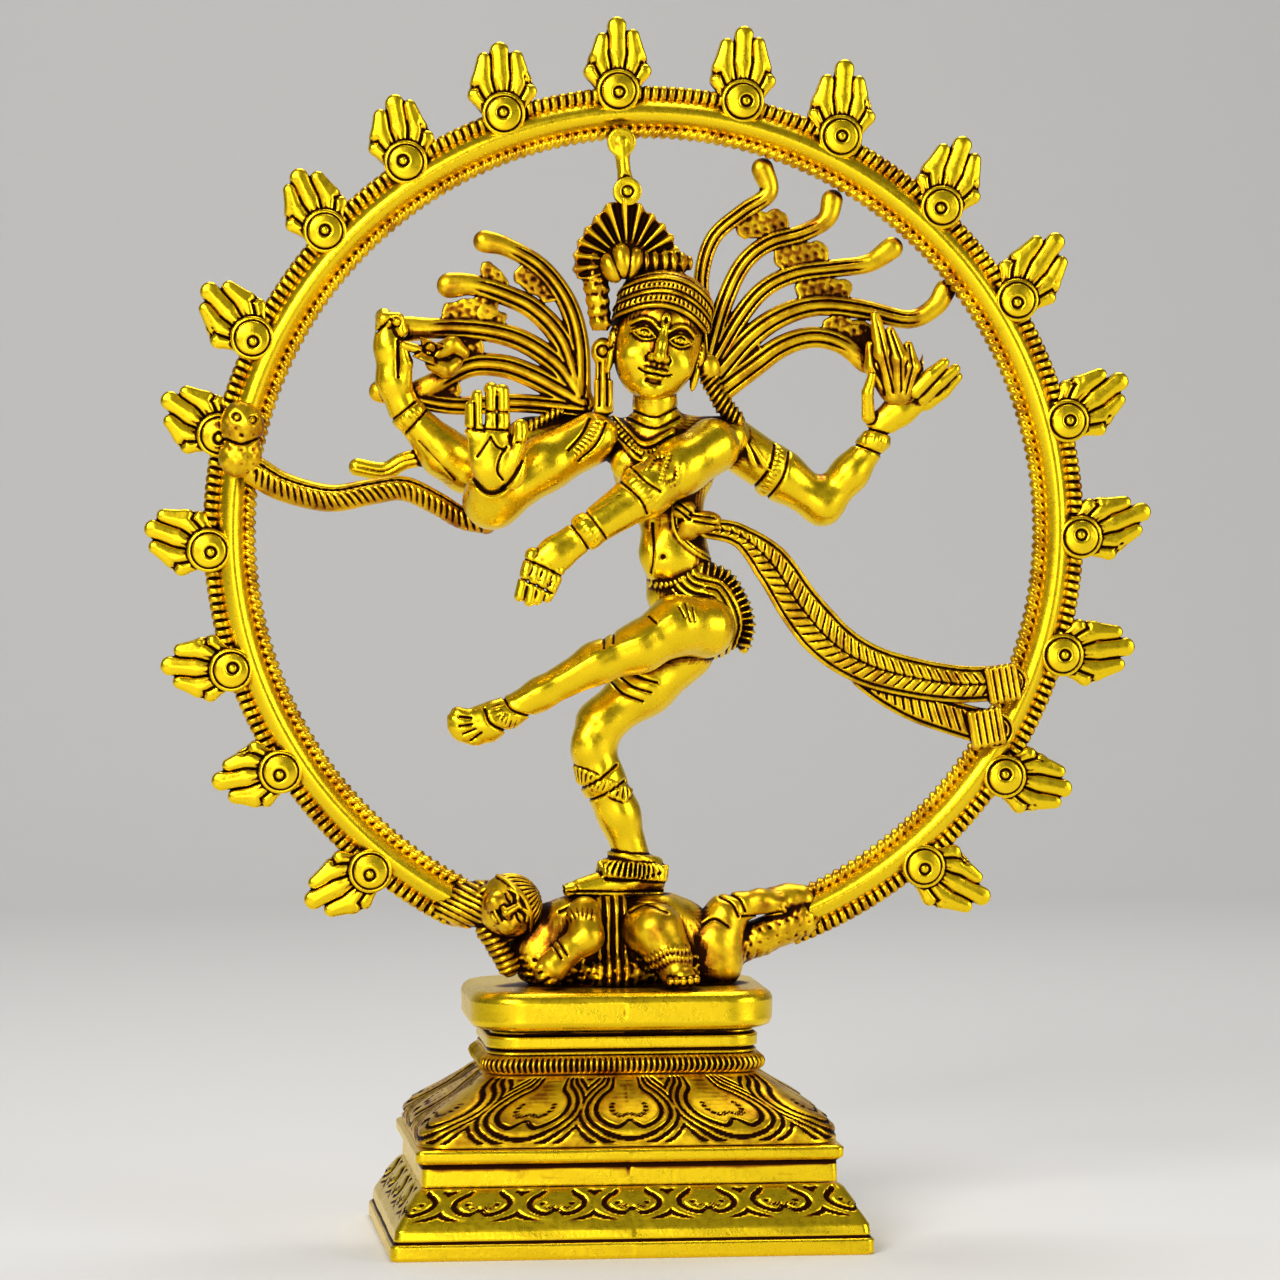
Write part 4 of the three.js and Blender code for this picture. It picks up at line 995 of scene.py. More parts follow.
def front_right_arm_shape(p):
    d = limb(p, [(-9.1, -2.4, 15.3, 4.3), (-17.4, -4.6, 11.1, 4.3), (-26.3, -6.4, 5.2, 4.5),
                 (-27.1, -9.6, 7.6, 3.6)], 2.0)
    palm = limb(p, [(-27.2, -12.2, 8.2, 2.6), (-27.1, -12.8, 11.2, 3.7), (-27.4, -12.8, 14.7, 3.8)], 1.5, 0.5)
    d = blend(d, palm, 0.3)
    thumb_root = egg(p, (-24.0, -13.2, 10.8), (2.6, 1.5, 4.0), turned("y", 14))
    d = blend(d, thumb_root, 0.8)
    heel = egg(p, (-28.8, -12.6, 10.8), (2.0, 1.3, 3.0))
    d = blend(d, heel, 0.8)
    fingers = (((-30.3, -12.8, 16.0), (-30.3, -13, 20.4), 1.15),
               ((-29.3, -12.8, 16.4), (-29.3, -13, 22.1), 1.15),
               ((-27.0, -12.8, 16.4), (-27.1, -13, 23.2), 1.3),
               ((-25.2, -12.8, 16.4), (-25.3, -13, 22.9), 1.3))
    for foot, tip, radius in fingers:
        d = blend(d, bar(p, vec(*foot), vec(*tip), radius, radius - 0.08), 0.3)
    thumb = bent(p, ((-23.2, -13.2, 11.5), (-22.2, -13.6, 14.7), (-22.4, -13.8, 17.3)), (1.8, 1.5, 1.15), 0.4)
    d = blend(d, thumb, 0.35)
    lines = (curve([(-24.7, 13.8), (-25.8, 12.1), (-26.2, 9.9), (-25.2, 8.4)], 4),
             curve([(-29.4, 12.3), (-28.3, 13.9), (-27.3, 15.4)], 4),
             curve([(-27.3, 15.4), (-26.3, 13.9), (-25.0, 13.3)], 4),
             [(-28.3, 22.5), (-28.3, 16.4)], [(-28.3, 22.5), (-28.3, 17.7)],
             [(-29.9, 20.9), (-29.8, 16.7)], [(-26.2, 21.9), (-26.2, 17.0)],
             [(-31.2, 16.9), (-28.6, 16.5)], [(-28.0, 16.7), (-24.4, 16.5)],
             [(-27.8, 19.6), (-24.5, 19.5)], [(-23.1, 14.6), (-21.4, 14.6)])
    for path in lines:
        d = engrave(d, p, path, 0.2, 0.45, -9)
    edge = curve([(-31.4, 15.4), (-31.1, 11.8), (-29.9, 8.9), (-28.0, 6.6), (-25.8, 6.6), (-23.7, 8.7),
                  (-22.2, 11.5), (-21.1, 15.4)], 5)
    d = engrave(d, p, edge, 0.42, 0.75, -6)
    for path in (curve([(-10.1, 18.4), (-11.7, 15.7), (-13.9, 13.3)], 4),
                 curve([(-7.5, 17.7), (-9.2, 14.3), (-12.2, 11.6)], 4)):
        d = engrave(d, p, path, 0.26, 0.5, 2)
    d = emboss(d, p, curve([(-8.8, 18.2), (-10.3, 15.1), (-13.0, 12.3)], 4), 0.9, 0.45, 2, 0.8)
    return d


def rear_right_arm_shape(p):
    d = limb(p, [(-7.8, 3.2, 16.4, 3.4), (-19.2, 3.2, 15.1, 3.4), (-29.9, 2.4, 10.5, 4.1),
                 (-33.6, 1.4, 12.8, 3.9), (-39.3, 0.4, 18.9, 2.7)], 1.6)
    hand = limb(p, [(-40.3, 0.2, 20.0, 2.7), (-42.2, -0.2, 24.7, 2.6), (-42.8, -0.4, 30.4, 2.4),
                    (-43.7, -0.6, 35.2, 1.5)], 1.4, 0.8)
    d = blend(d, hand, 0.9)
    index = limb(p, [(-43.7, -1.4, 34.8, 1.4), (-41.6, -1.8, 34.8, 1.1), (-40.8, -1.8, 32.8, 1.0)], 0.5)
    d = blend(d, index, 0.3)
    thumb = limb(p, [(-40.4, -1, 24.0, 1.3), (-40.1, -1.6, 27.6, 1.1), (-40.8, -1.8, 30.2, 0.95)], 0.5)
    d = blend(d, thumb, 0.4)
    eyelet = np.abs(from_spot(p, -41.8, 34.3) - 0.75)
    d = d + 0.35 * hump(eyelet, 0.2) * front_of(p, -1.4)
    for path in ([(-44.8, 32.8), (-42.8, 34.8)], [(-42.2, 18.4), (-38.7, 21.2)],
                 [(-40.1, 16.2), (-36.6, 20.0)], [(-41.5, 31.2), (-41.5, 25.3)]):
        d = engrave(d, p, path, 0.22, 0.45, 4)
    d = emboss(d, p, [(-41.2, 17.4), (-37.7, 20.5)], 1.0, 0.3, 4, 0.9)
    d = engrave(d, p, [(-38.0, 14.8), (-32.1, 8.5)], 0.3, 0.16, 4)
    cloth = curve([(-36.0, 12.3), (-40.2, 11.5), (-43.5, 9.8), (-47.9, 10.5)], 5)
    near = traced(p, cloth)[0]
    tail = np.hypot(near, 1.3 * (p[:, 1] - 2.6)) - 1.5 + 0.3 * hump(near, 0.2)
    edge = bar(p, vec(-14.7, 1, 19.7), vec(-19.7, 0.6, 17.1), 0.9, 0.9) + 0.15 * np.cos(p[:, 0] * 7)
    return blend(blend(d, tail, 0.4), edge, 0.4)


def fire_shape(p):
    tongues = (((41.0, -0.8, 22.8), (39.3, -0.8, 29.4), (38.1, -0.6, 35.7), 1.8),
               ((42.2, -1.4, 23.1), (42.0, -1.4, 28.4), (40.6, -1, 33.1), 1.8),
               ((40.1, -0.2, 22.8), (37.8, -0.4, 27.1), (37.3, -0.6, 30.7), 1.5),
               ((43.0, -1.6, 22.8), (44.0, -1.6, 27.1), (43.6, -1.2, 30.7), 1.6),
               ((44.0, -0.8, 22.4), (46.0, -0.8, 25.4), (46.7, -0.6, 28.8), 1.4))
    d = None
    for *places, radius in tongues:
        one = bent(p, places, (radius * 0.8, radius, 0.8), 0.4)
        one = engrave(one, p, [(x, z) for x, _, z in places], 0.22, 0.35, -1.4)
        d = one if d is None else blend(d, one, 0.15)
    return blend(d, egg(p, (42.0, -0.8, 22.1), (2.4, 1.6, 1.6)), 0.6)


def drum_shape(p):
    """The small hand drum, with the flame-like curls that tie it to the hair."""
    axis = (vec(-37.2, -2.4, 27.9), vec(-35.9, -2.4, 31.2))
    span = axis[1] - axis[0]
    along = (p - axis[0]) @ span / float(span @ span)
    away = np.sqrt(((p - axis[0] - np.clip(along, 0, 1)[:, None] * span) ** 2).sum(1))
    waist = 0.9 + 1.3 * np.abs(np.clip(along, 0, 1) * 2 - 1) ** 0.8
    d = np.maximum(away - waist, (np.abs(along - 0.5) - 0.5) * 3.4)
    d = blend(d, bar(p, vec(-40.5, -2.2, 30.5), vec(-36.5, -2.4, 29.4), 0.8, 0.8), 0.3)
    for curl in (((-35.2, -1.8, 29.2), (-32.5, -1.4, 30.6), (-30.7, -1.2, 29.3)),
                 ((-35.5, -1.6, 27.6), (-33.5, -1.4, 26.6), (-31.8, -1.2, 27.8))):
        d = blend(d, bent(p, curl, (1.5, 1.5, 1.1), 0.4), 0.25)
    ring = np.abs(from_spot(p, -36.3, 29.9) - 1.0)
    return d + 0.3 * hump(ring, 0.22) * front_of(p, -2)


def knot_shape(p):
    d = egg(p, (8.1, -6.4, 1.3), (3.6, 1.7, 2.0), turned("y", 8))
    d = blend(d, egg(p, (5.4, -6.2, 3.4), (2.0, 1.4, 1.8)), 0.5)
    d = blend(d, egg(p, (6.1, -6.2, -0.1), (1.8, 1.3, 1.5)), 0.5)
    for path in ([(4.3, 4.7), (6.5, 2.9)], [(4.0, 3.7), (6.2, 1.9)], [(6.9, 1.6), (10.7, 0.9)],
                 [(6.2, 2.6), (10.3, 2.1)]):
        d = engrave(d, p, path, 0.18, 0.4, -5)
    return d


# ---- hair, serpent and sash ----------------------------------------------------------------------
def lock(p, points, start, finish, y, thick=1.35, flutes=(-0.42, 0.42), tip=1.25):
    """One flat fluted lock of hair along a line in the X-Z plane."""
    path = curve(points, 5)
    total = sum(math.hypot(b[0] - a[0], b[1] - a[1]) for a, b in zip(path, path[1:]))
    near, along, side = traced(p, path)
    share = along / total
    half = start + (finish - start) * share + (tip - 1) * finish * hump(share - 1, 0.09)
    depth = p[:, 1] - y
    d = (np.sqrt((near / half) ** 2 + (depth / thick) ** 2) - 1) * np.minimum(half, thick)
    offset = near * side / half
    fade = np.clip((0.88 - share) / 0.12, 0, 1)
    for flute in flutes:
        d = d + 0.5 * fade * hump((offset - flute) * half, 0.22)
    return d


def web(p, points, half, y, thick=0.8):
    """A rough slip of metal between two locks."""
    near = traced(p, points)[0]
    return np.maximum(near - half + 0.14 * rough(p, 4), np.abs(p[:, 1] - y) - thick + 0.02 * rough(p, 2.2))


HAIR_RIGHT_LOCKS = (
    ([(-11.0, 22.7), (-11.3, 31.3), (-13.3, 38.0), (-17.6, 43.6), (-23.3, 46.9), (-26.9, 47.8)], 1.9, 1.5),
    ([(-11.3, 22.7), (-13.8, 31.0), (-18.3, 36.3), (-23.3, 38.9), (-28.9, 40.6), (-32.7, 40.5)], 2.0, 1.7),
    ([(-11.3, 22.4), (-14.3, 27.0), (-19.3, 30.7), (-24.3, 32.6), (-30.6, 33.4), (-40.0, 33.3)], 2.0, 1.7),
    ([(-10.6, 21.1), (-14.3, 23.1), (-19.3, 25.7), (-24.3, 27.3), (-30.1, 27.0), (-37.6, 22.7)], 2.1, 1.8),
    ([(-10.6, 20.1), (-16.0, 20.7), (-22.6, 21.1), (-32.6, 20.7), (-44.2, 23.0)], 1.6, 1.5),
)
HAIR_RIGHT_WEBS = (
    ([(-16.3, 39.3), (-20.3, 42.2)], 1.7), ([(-26.3, 43.2), (-24.3, 41.2)], 1.3),
    ([(-26.6, 36.9), (-32.2, 35.8)], 1.9), ([(-24.3, 35.0), (-26.8, 35.9)], 1.2),
    ([(-32.2, 30.0), (-28.6, 30.3)], 1.7), ([(-14.0, 24.1), (-11.3, 21.7)], 2.2),
    ([(-32.6, 23.4), (-34.9, 21.7)], 1.8),
)
HAIR_LEFT_LOCKS = (
    ([(10.1, 29.4), (9.4, 37.4), (9.4, 43.0), (11.4, 48.7), (16.1, 52.8), (20.5, 56.0),
      (19.5, 60.0)], 1.2, 1.5),
    ([(10.4, 28.7), (12.8, 37.0), (16.1, 44.0), (20.5, 47.7), (26.2, 49.4), (30.2, 51.7),
      (31.2, 54.9)], 1.6, 1.45),
    ([(11.1, 27.7), (15.5, 35.1), (19.8, 40.1), (25.2, 42.7), (31.9, 43.6), (37.3, 44.4),
      (41.3, 47.0)], 1.6, 1.5),
    ([(12.1, 26.1), (17.5, 32.1), (22.8, 35.7), (28.9, 37.4), (36.0, 36.8), (44.1, 35.1),
      (48.5, 37.2), (50.3, 40.0)], 2.1, 1.45),
    ([(12.8, 23.4), (17.8, 27.1), (22.8, 30.6), (27.9, 32.1), (32.6, 31.1), (37.0, 28.1)], 2.1, 1.6),
)
HAIR_LEFT_WEBS = (
    ([(17.1, 50.3), (21.8, 51.4)], 2.0), ([(23.5, 45.2), (28.5, 46.1)], 2.1),
    ([(26.9, 39.9), (32.6, 40.1)], 1.9), ([(31.6, 33.4), (36.3, 32.5)], 2.2),
    ([(11.8, 27.1), (14.1, 29.4)], 2.6), ([(16.8, 30.7), (15.1, 27.1)], 2.2),
)


def hair_shape(locks, webs):
    def shape(p):
        d = None
        for points, start, finish in locks:
            one = lock(p, points, start, finish, 1.8)
            d = one if d is None else blend(d, one, 0.25)
        for points, half in webs:
            d = blend(d, web(p, points, half, 1.9), 0.25)
        return d
    return shape


def serpent_head_shape(p):
    d = egg(p, (-67.2, -4.4, 17.4), (3.6, 2.4, 4.0), turned("y", 12))
    d = blend(d, egg(p, (-67.5, -4.2, 12.1), (3.6, 2.4, 3.4)), 1.4)
    d = blend(d, egg(p, (-66.4, -6, 17.5), (1.6, 1.2, 1.8)), 0.6)
    d = engrave(d, p, curve([(-69.9, 15.1), (-67.3, 14.3), (-64.3, 15.4)], 5), 0.25, 0.4, -2)
    for x, z in ((-68.2, 18.7), (-65.6, 18.3)):
        away = from_spot(p, x, z)
        d = d + 0.25 * hump(away - 0.6, 0.18) * front_of(p, -4)
    return d + 0.07 * np.sin(p[:, 0] * 3.1) * np.sin(p[:, 2] * 2.7)


def serpent_body_shape(p):
    path = curve([(-64.9, 9.8), (-60.3, 7.2), (-52.8, 5.4), (-46.2, 6.4), (-40.6, 7.0),
                  (-35.2, 4.6), (-30.9, 2.1), (-26.9, 1.2)], 5)
    near, along, side = traced(p, path)
    depth = p[:, 1] + 3.8 - 0.075 * along
    half = 2.5 - 0.018 * along
    d = (np.sqrt((near / half) ** 2 + (depth / 1.9) ** 2) - 1) * 1.9
    ribs = np.cos((along + 0.5 * near * side) * 2 * math.pi / 1.15)
    d = d + 0.17 * ribs * np.clip(1.3 - np.abs(near * side + 0.3) / 1.5, 0, 1)
    return d + 0.4 * hump(near * side - 1.3, 0.24)


def sash_shape(p):
    main = curve([(9.4, 0.4), (13.8, -0.4), (17.5, -2.9), (20.9, -6.7), (24.9, -12.7), (30.0, -18.4),
                  (36.1, -22.2), (43.8, -24.4), (52.3, -25.6), (60.4, -25.3)], 5)
    near, along, _ = traced(p, main)
    half = np.interp(along, (0, 6, 12, 26, 40, 58), (1.7, 2.0, 3.2, 3.9, 3.4, 2.9))
    y = -6.0 + 0.028 * along
    d = np.maximum(near - half, np.abs(p[:, 1] - y + 0.5 * np.clip(1 - (near / half) ** 2, 0, 1)) - 0.8)
    d = d + 0.42 * hump(near - half + 0.75, 0.2)
    fold = np.mod(along * 0.62 + np.abs(near) * 0.42, 1.0) - 0.5
    d = d + 0.3 * hump(fold, 0.13) * np.clip((half - 0.9 - near) / 0.3, 0, 1) * front_of(p, -3.8)
    d = d + 0.3 * hump(near, 0.2) * front_of(p, -3.8)
    tail_path = curve([(31.4, -19.7), (37.1, -25.0), (43.8, -28.9), (50.2, -31.1), (58.0, -33.3)], 5)
    near, along, side = traced(p, tail_path)
    half = np.interp(along, (0, 6, 18, 30), (1.6, 2.4, 2.7, 3.0))
    tail = np.maximum(near - half, np.abs(p[:, 1] + 4.3) - 0.8)
    tail = tail + 0.4 * hump(near - half + 0.7, 0.2)
    fold = np.mod(along * 0.62 + near * side * 0.42, 1.0) - 0.5
    inside = np.clip((half - 0.9 - near) / 0.3, 0, 1)
    tail = tail + 0.3 * hump(fold, 0.13) * inside * front_of(p, -3.8)
    d = blend(d, tail, 0.2)
    for centre, size in (((58.9, -5, -25.5), (2.7, 1.2, 3.2)), ((56.2, -5, -32.8), (2.9, 1.2, 3.2))):
        q = (p - vec(*centre)) @ turned("y", 10)
        block = np.sqrt((np.maximum(np.abs(q) - np.array(size, dtype=np.float32) + 0.5, 0) ** 2).sum(1)) - 0.5
        for line in (-1.4, -0.3, 0.8, 1.7):
            block = block + 0.3 * hump(q[:, 0] - line, 0.2)
        d = blend(d, block, 0.2)
    return d


# ---- dwarf ---------------------------------------------------------------------------------------
def dwarf_body_shape(p):
    d = limb(p, [(-16.6, -0.6, -67.1, 5.3), (-12.1, -0.8, -66.8, 6.0), (-6.0, -1, -67.2, 5.4),
                 (1.3, -0.6, -66.6, 6.5), (5.1, -0.6, -67.0, 5.8)], 2.0)
    d = blend(d, egg(p, (-19.0, -1, -69.7), (4.6, 4.4, 4.6)), 1.5)
    d = blend(d, egg(p, (-11.6, -4, -63.6), (5.4, 3.6, 3.6)), 1.5)
    d = blend(d, egg(p, (0.7, -4, -64.7), (5.2, 3.6, 4.6)), 1.5)
    d = blend(d, egg(p, (-7.5, -3, -63.7), (5.4, 4.0, 4.2)), 1.0)
    d = blend(d, bar(p, vec(-16.7, -2, -71.6), vec(7.6, -2, -71.9), 4.6, 4.6), 2.0)
    hem = egg(p, (-5.4, -5.4, -72.8), (6.4, 3.6, 3.0))
    d = blend(d, hem, 1.2)
    pleats = np.cos((p[:, 0] + 6.5) * 2 * math.pi / 1.5)
    inside = np.clip(1.5 - np.abs(p[:, 0] + 6.5) / 2.4, 0, 1) * front_of(p, -3)
    d = d + 0.26 * pleats * inside
    d = d + 0.11 * rough(p, 2.6) * np.clip(-69.6 - p[:, 2], 0, 1)
    for path in (curve([(-15.3, -62.8), (-12.4, -61.6), (-9.1, -62.0)], 4),
                 curve([(-15.9, -60.9), (-12.0, -59.7), (-8.7, -60.3)], 4),
                 curve([(-3.2, -63.2), (-0.5, -61.7), (2.9, -62.7)], 4)):
        d = engrave(d, p, path, 0.22, 0.35, 0)
    d = np.maximum(d, p[:, 2] + 60.3)
    return np.maximum(d, SLAB_TOP - p[:, 2])


def dwarf_head_shape(p):
    centre = vec(-23.5, -3.4, -62.2)
    q = (p - centre) @ turned("y", -62)
    mirrored = q.copy()
    mirrored[:, 0] = np.abs(q[:, 0])
    d = egg(q, (0, 0.4, 0.3), (5.4, 4.9, 5.4))
    d = blend(d, egg(mirrored, (2.0, -3.4, -1.6), (1.7, 1.4, 1.6)), 0.8)
    d = cut(d, egg(mirrored, (1.8, -5.2, 0.8), (1.3, 1.1, 0.75)), 0.4)
    d = blend(d, egg(mirrored, (1.8, -3.7, 0.75), (1.0, 0.9, 0.55)), 0.2)
    d = blend(d, limb(q, [(0, -4.4, 1.4, 0.5), (0, -5.3, -0.9, 0.75)], 0.4), 0.4)
    d = blend(d, egg(mirrored, (0.7, -4.8, -0.95), (0.55, 0.6, 0.45)), 0.2)
    d = blend(d, egg(q, (0, -4.2, -2.45), (1.3, 0.7, 0.36)), 0.2)
    d = blend(d, egg(q, (0, -4.1, -3.1), (1.05, 0.75, 0.4)), 0.08)
    d = emboss(d, mirrored, curve([(0.6, 1.7), (1.8, 2.2), (3.0, 1.6)], 4), 0.25, 0.3, 0)
    d = emboss(d, mirrored, curve([(0.8, 0.6), (1.8, 1.15), (2.9, 0.6)], 4), 0.16, 0.24, 0)
    d = engrave(d, mirrored, curve([(0.8, 0.55), (1.8, 0.35), (2.9, 0.6)], 4), 0.14, 0.2, 0)
    ear = egg(mirrored, (4.8, -0.2, 0.2), (0.7, 1.0, 1.5))
    ear = blend(ear, egg(mirrored, (4.6, -0.5, -2.0), (0.6, 0.8, 1.2)), 0.3)
    d = blend(d, ear, 0.3)
    hairline = q[:, 2] - 2.9 + 0.06 * q[:, 0] ** 2
    d = d - 0.4 * hump(hairline, 0.35) * front_of(q, 1)
    strands = np.cos(np.arctan2(q[:, 0], -q[:, 1]) * 26)
    d = d + 0.16 * strands * np.clip((hairline - 0.3) / 0.4, 0, 1)
    hair = limb(p, [(-27.6, -1, -61.7, 4.0), (-30.8, 0, -62.0, 3.6), (-33.1, 0.4, -62.1, 3.0)], 1.2)
    hair = hair + 0.1 * np.cos((p[:, 0] * 0.5 + p[:, 2]) * 2 * math.pi / 1.1)
    d = blend(d, hair, 0.5)
    braid = limb(p, [(-27.1, -2.6, -66.2, 1.7), (-25.2, -3.6, -68.8, 1.7), (-23.6, -4.2, -71.7, 1.9)], 0.8)
    braid = braid + 0.12 * np.cos((p[:, 2] - p[:, 0] * 0.4) * 2 * math.pi / 1.2)
    return blend(d, braid, 0.4)


def dwarf_arm_shape(p):
    d = limb(p, [(-11.2, -7, -63.0, 2.8), (-11.1, -9.2, -66.7, 2.7), (-14.5, -10, -69.1, 2.2),
                 (-16.9, -10.4, -71.5, 2.6)], 1.2)
    for tip in ((-18.8, -11.2, -71.4), (-18.3, -11.4, -72.7), (-17.1, -11.4, -73.5)):
        d = blend(d, egg(p, tip, (1.3, 1.1, 0.85), turned("y", 30)), 0.2)
    d = emboss(d, p, curve([(-14.5, -63.3), (-12.6, -62.5), (-9.9, -62.9)], 4), 0.8, 0.45, -6, 0.8)
    for path in ([(-17.2, -67.2), (-15.6, -69.9)], [(-16.2, -66.8), (-14.6, -69.4)]):
        d = engrave(d, p, path, 0.2, 0.4, -8)
    return np.maximum(d, SLAB_TOP - p[:, 2])


def dwarf_bent_leg_shape(p):
    d = limb(p, [(-1.1, -5.6, -65.8, 4.4), (0.5, -8.4, -65.9, 4.2), (2.3, -10, -69.1, 3.3),
                 (3.5, -11.2, -71.3, 2.7)], 1.6)
    foot = limb(p, [(3.2, -11.4, -72.3, 2.5), (4.4, -13.2, -73.4, 2.2)], 0.8, 0.9)
    d = blend(d, foot, 0.6)
    for tip in ((2.2, -14.2, -73.7), (3.1, -14.7, -73.6), (4.2, -14.9, -73.6), (5.4, -14.7, -73.5),
                (6.5, -14, -73.4)):
        d = blend(d, egg(p, tip, (0.65, 1.0, 0.75)), 0.12)
    for path in (curve([(-1.2, -70.4), (1.9, -68.6), (5.3, -68.5)], 4),
                 curve([(-0.5, -71.8), (2.2, -69.9), (5.9, -69.9)], 4)):
        d = emboss(d, p, path, 0.5, 0.4, -7, 0.7)
    d = engrave(d, p, curve([(-3.8, -62.9), (-1.0, -61.7), (2.1, -62.7)], 4), 0.22, 0.35, -7)
    return np.maximum(d, SLAB_TOP - p[:, 2])


def dwarf_far_leg_shape(p):
    d = limb(p, [(7.5, -0.6, -68.0, 4.6), (11.0, -2, -68.3, 4.6), (13.0, -2, -64.0, 3.4),
                 (15.3, -2, -62.5, 2.4)], 1.6)
    foot = limb(p, [(15.0, -2.2, -62.6, 2.4), (18.6, -2.4, -61.8, 2.2), (21.8, -2.4, -62.3, 1.6)], 0.8)
    foot = blend(foot, limb(p, [(20.9, -0.6, -61.8, 2.4), (23.7, 0, -61.7, 2.7), (25.9, 0, -61.6, 2.5)],
                            0.8), 1.0)
    d = blend(d, foot, 0.6)
    d = blend(d, egg(p, (5.8, -3.4, -65.4), (1.4, 1.3, 1.3)), 0.2)
    for tip in ((21.9, -2.2, -61.0), (22.3, -3, -62.0), (22.0, -3.4, -62.9)):
        d = blend(d, egg(p, tip, (1.1, 0.8, 0.6), turned("y", -25)), 0.15)
    for path in (curve([(11.8, -60.9), (13.6, -61.9), (14.6, -63.9)], 4),
                 curve([(12.9, -60.2), (14.9, -61.2), (15.8, -63.1)], 4)):
        d = engrave(d, p, path, 0.22, 0.42, 2)
    d = engrave(d, p, curve([(15.3, -63.9), (18.6, -63.9), (22.3, -63.3)], 4), 0.22, 0.4, 2)
    d = blend(d, bar(p, vec(7.0, -2, -71.9), vec(11.3, -2.4, -71.9), 4.6, 4.4), 1.5)
    under = limb(p, [(13.1, -1, -70.1, 3.0), (18.9, -0.4, -67.8, 2.9), (25.7, 0, -64.8, 3.3)], 1.0)
    d = blend(d, under + 0.05 * rough(p, 2.4), 0.8)
    d = engrave(d, p, curve([(8.3, -65.5), (10.6, -64.3), (12.8, -65.5)], 4), 0.22, 0.35, 2)
    return np.maximum(d, SLAB_TOP - p[:, 2])


# ---- fixings under the pedestal ------------------------------------------------------------------
def make_fixings():
    low, high = box_mm("fixing_stud")
    around = np.linspace(0, 2 * math.pi, 36, endpoint=False)
    radius = (high[0] - low[0]) / 2
    rows = []
    for z in np.arange(low[2], high[2] - 6.6, 0.09):
        thread = radius - 0.28 * np.abs(np.mod((z - low[2]) / 0.7 - around / (2 * math.pi), 1.0) * 2 - 1)
        shrink = min(1.0, 0.75 + (z - low[2]) * 0.5)
        rows.append(np.stack([PEDESTAL_X + thread * shrink * np.cos(around), thread * shrink * np.sin(around),
                              np.full(36, z)], 1))
    for z in (high[2] - 6.5, high[2] - 3, high[2] - 0.1):
        rows.append(np.stack([PEDESTAL_X + radius * 0.94 * np.cos(around), radius * 0.94 * np.sin(around),
                              np.full(36, z)], 1))
    verts, faces = lofted(rows)
    add_piece("fixing_stud_steel", verts, faces, "fixing_steel", "fixing_stud")
    for node, sides in (("fixing_washer", 0), ("fixing_nut", 6)):
        low, high = box_mm(node)
        outer = (high[0] - low[0]) / 2
        turn = np.linspace(0, 2 * math.pi, 72, endpoint=False)
        edge = np.full(72, outer)
        if sides:
            edge = outer * math.cos(math.pi / 6) / np.cos(np.mod(turn, math.pi / 3) - math.pi / 6)
        hole = radius + 0.3
        section = [(1.0, low[2] + 0.25), (1.0, high[2] - 0.25), (0.965, high[2]), (0.0, high[2]),
                   (0.0, low[2]), (0.965, low[2])]
        rows = []
        for share, z in section:
            r = hole + (edge - hole) * share
            rows.append(np.stack([PEDESTAL_X + r * np.cos(turn), r * np.sin(turn), np.full(72, z)], 1))
        verts, faces = lofted(rows, closed=True)
        add_piece(f"{node}_steel", verts, faces, "fixing_steel", node)


def make_figure():
    cast("torso", "polished_brass", torso_shape)
    cast("hips", "polished_brass", hips_shape)
    cast("lifted_leg", "polished_brass", lifted_leg_shape)
    cast("standing_leg", "polished_brass", standing_leg_shape)
    cast("head", "polished_brass", head_shape, 0.15)
    cast("diadem", "aged_brass", diadem_shape, 0.17)
    cast("crest", "aged_brass", crest_shape, 0.17, 8)
    cast("ear_pendant_left", "aged_brass", left_pendant_shape, 0.17, 4)
    cast("ear_pendant_right", "aged_brass", right_pendant_shape, 0.17)
    cast("front_left_arm", "polished_brass", front_left_arm_shape)
    cast("rear_left_arm", "polished_brass", rear_left_arm_shape)
    cast("front_right_arm", "polished_brass", front_right_arm_shape, 0.18)
    cast("rear_right_arm", "polished_brass", rear_right_arm_shape, 0.2, 5)
    cast("hand_fire", "aged_brass", fire_shape, 0.17, 4)
    cast("hand_drum", "aged_brass", drum_shape, 0.18, 6)
    cast("waist_knot", "aged_brass", knot_shape, 0.18)
    cast("hair_right", "aged_brass", hair_shape(HAIR_RIGHT_LOCKS, HAIR_RIGHT_WEBS), 0.2, 3.5)
    cast("hair_left", "aged_brass", hair_shape(HAIR_LEFT_LOCKS, HAIR_LEFT_WEBS), 0.2, 3.5)
    cast("serpent_head", "aged_brass", serpent_head_shape)
    cast("serpent_body", "aged_brass", serpent_body_shape)
    cast("sash", "aged_brass", sash_shape, 0.2, 3.5)
    cast("dwarf_body", "aged_brass", dwarf_body_shape, 0.2, 6)
    cast("dwarf_head", "aged_brass", dwarf_head_shape, 0.17, 6)
    cast("dwarf_arm", "aged_brass", dwarf_arm_shape, 0.18)
    cast("dwarf_bent_leg", "aged_brass", dwarf_bent_leg_shape, 0.18)
    cast("dwarf_far_leg", "aged_brass", dwarf_far_leg_shape, 0.2, 6)


# ---- materials -----------------------------------------------------------------------------------
def node_link(tree, a, out, b, into):
    tree.links.new(a.outputs[out], b.inputs[into])


def noise_node(tree, place, scale, detail):
    noise = tree.nodes.new("ShaderNodeTexNoise")
    noise.inputs["Scale"].default_value = scale
    noise.inputs["Detail"].default_value = detail
    node_link(tree, place, "Object", noise, "Vector")
    return noise


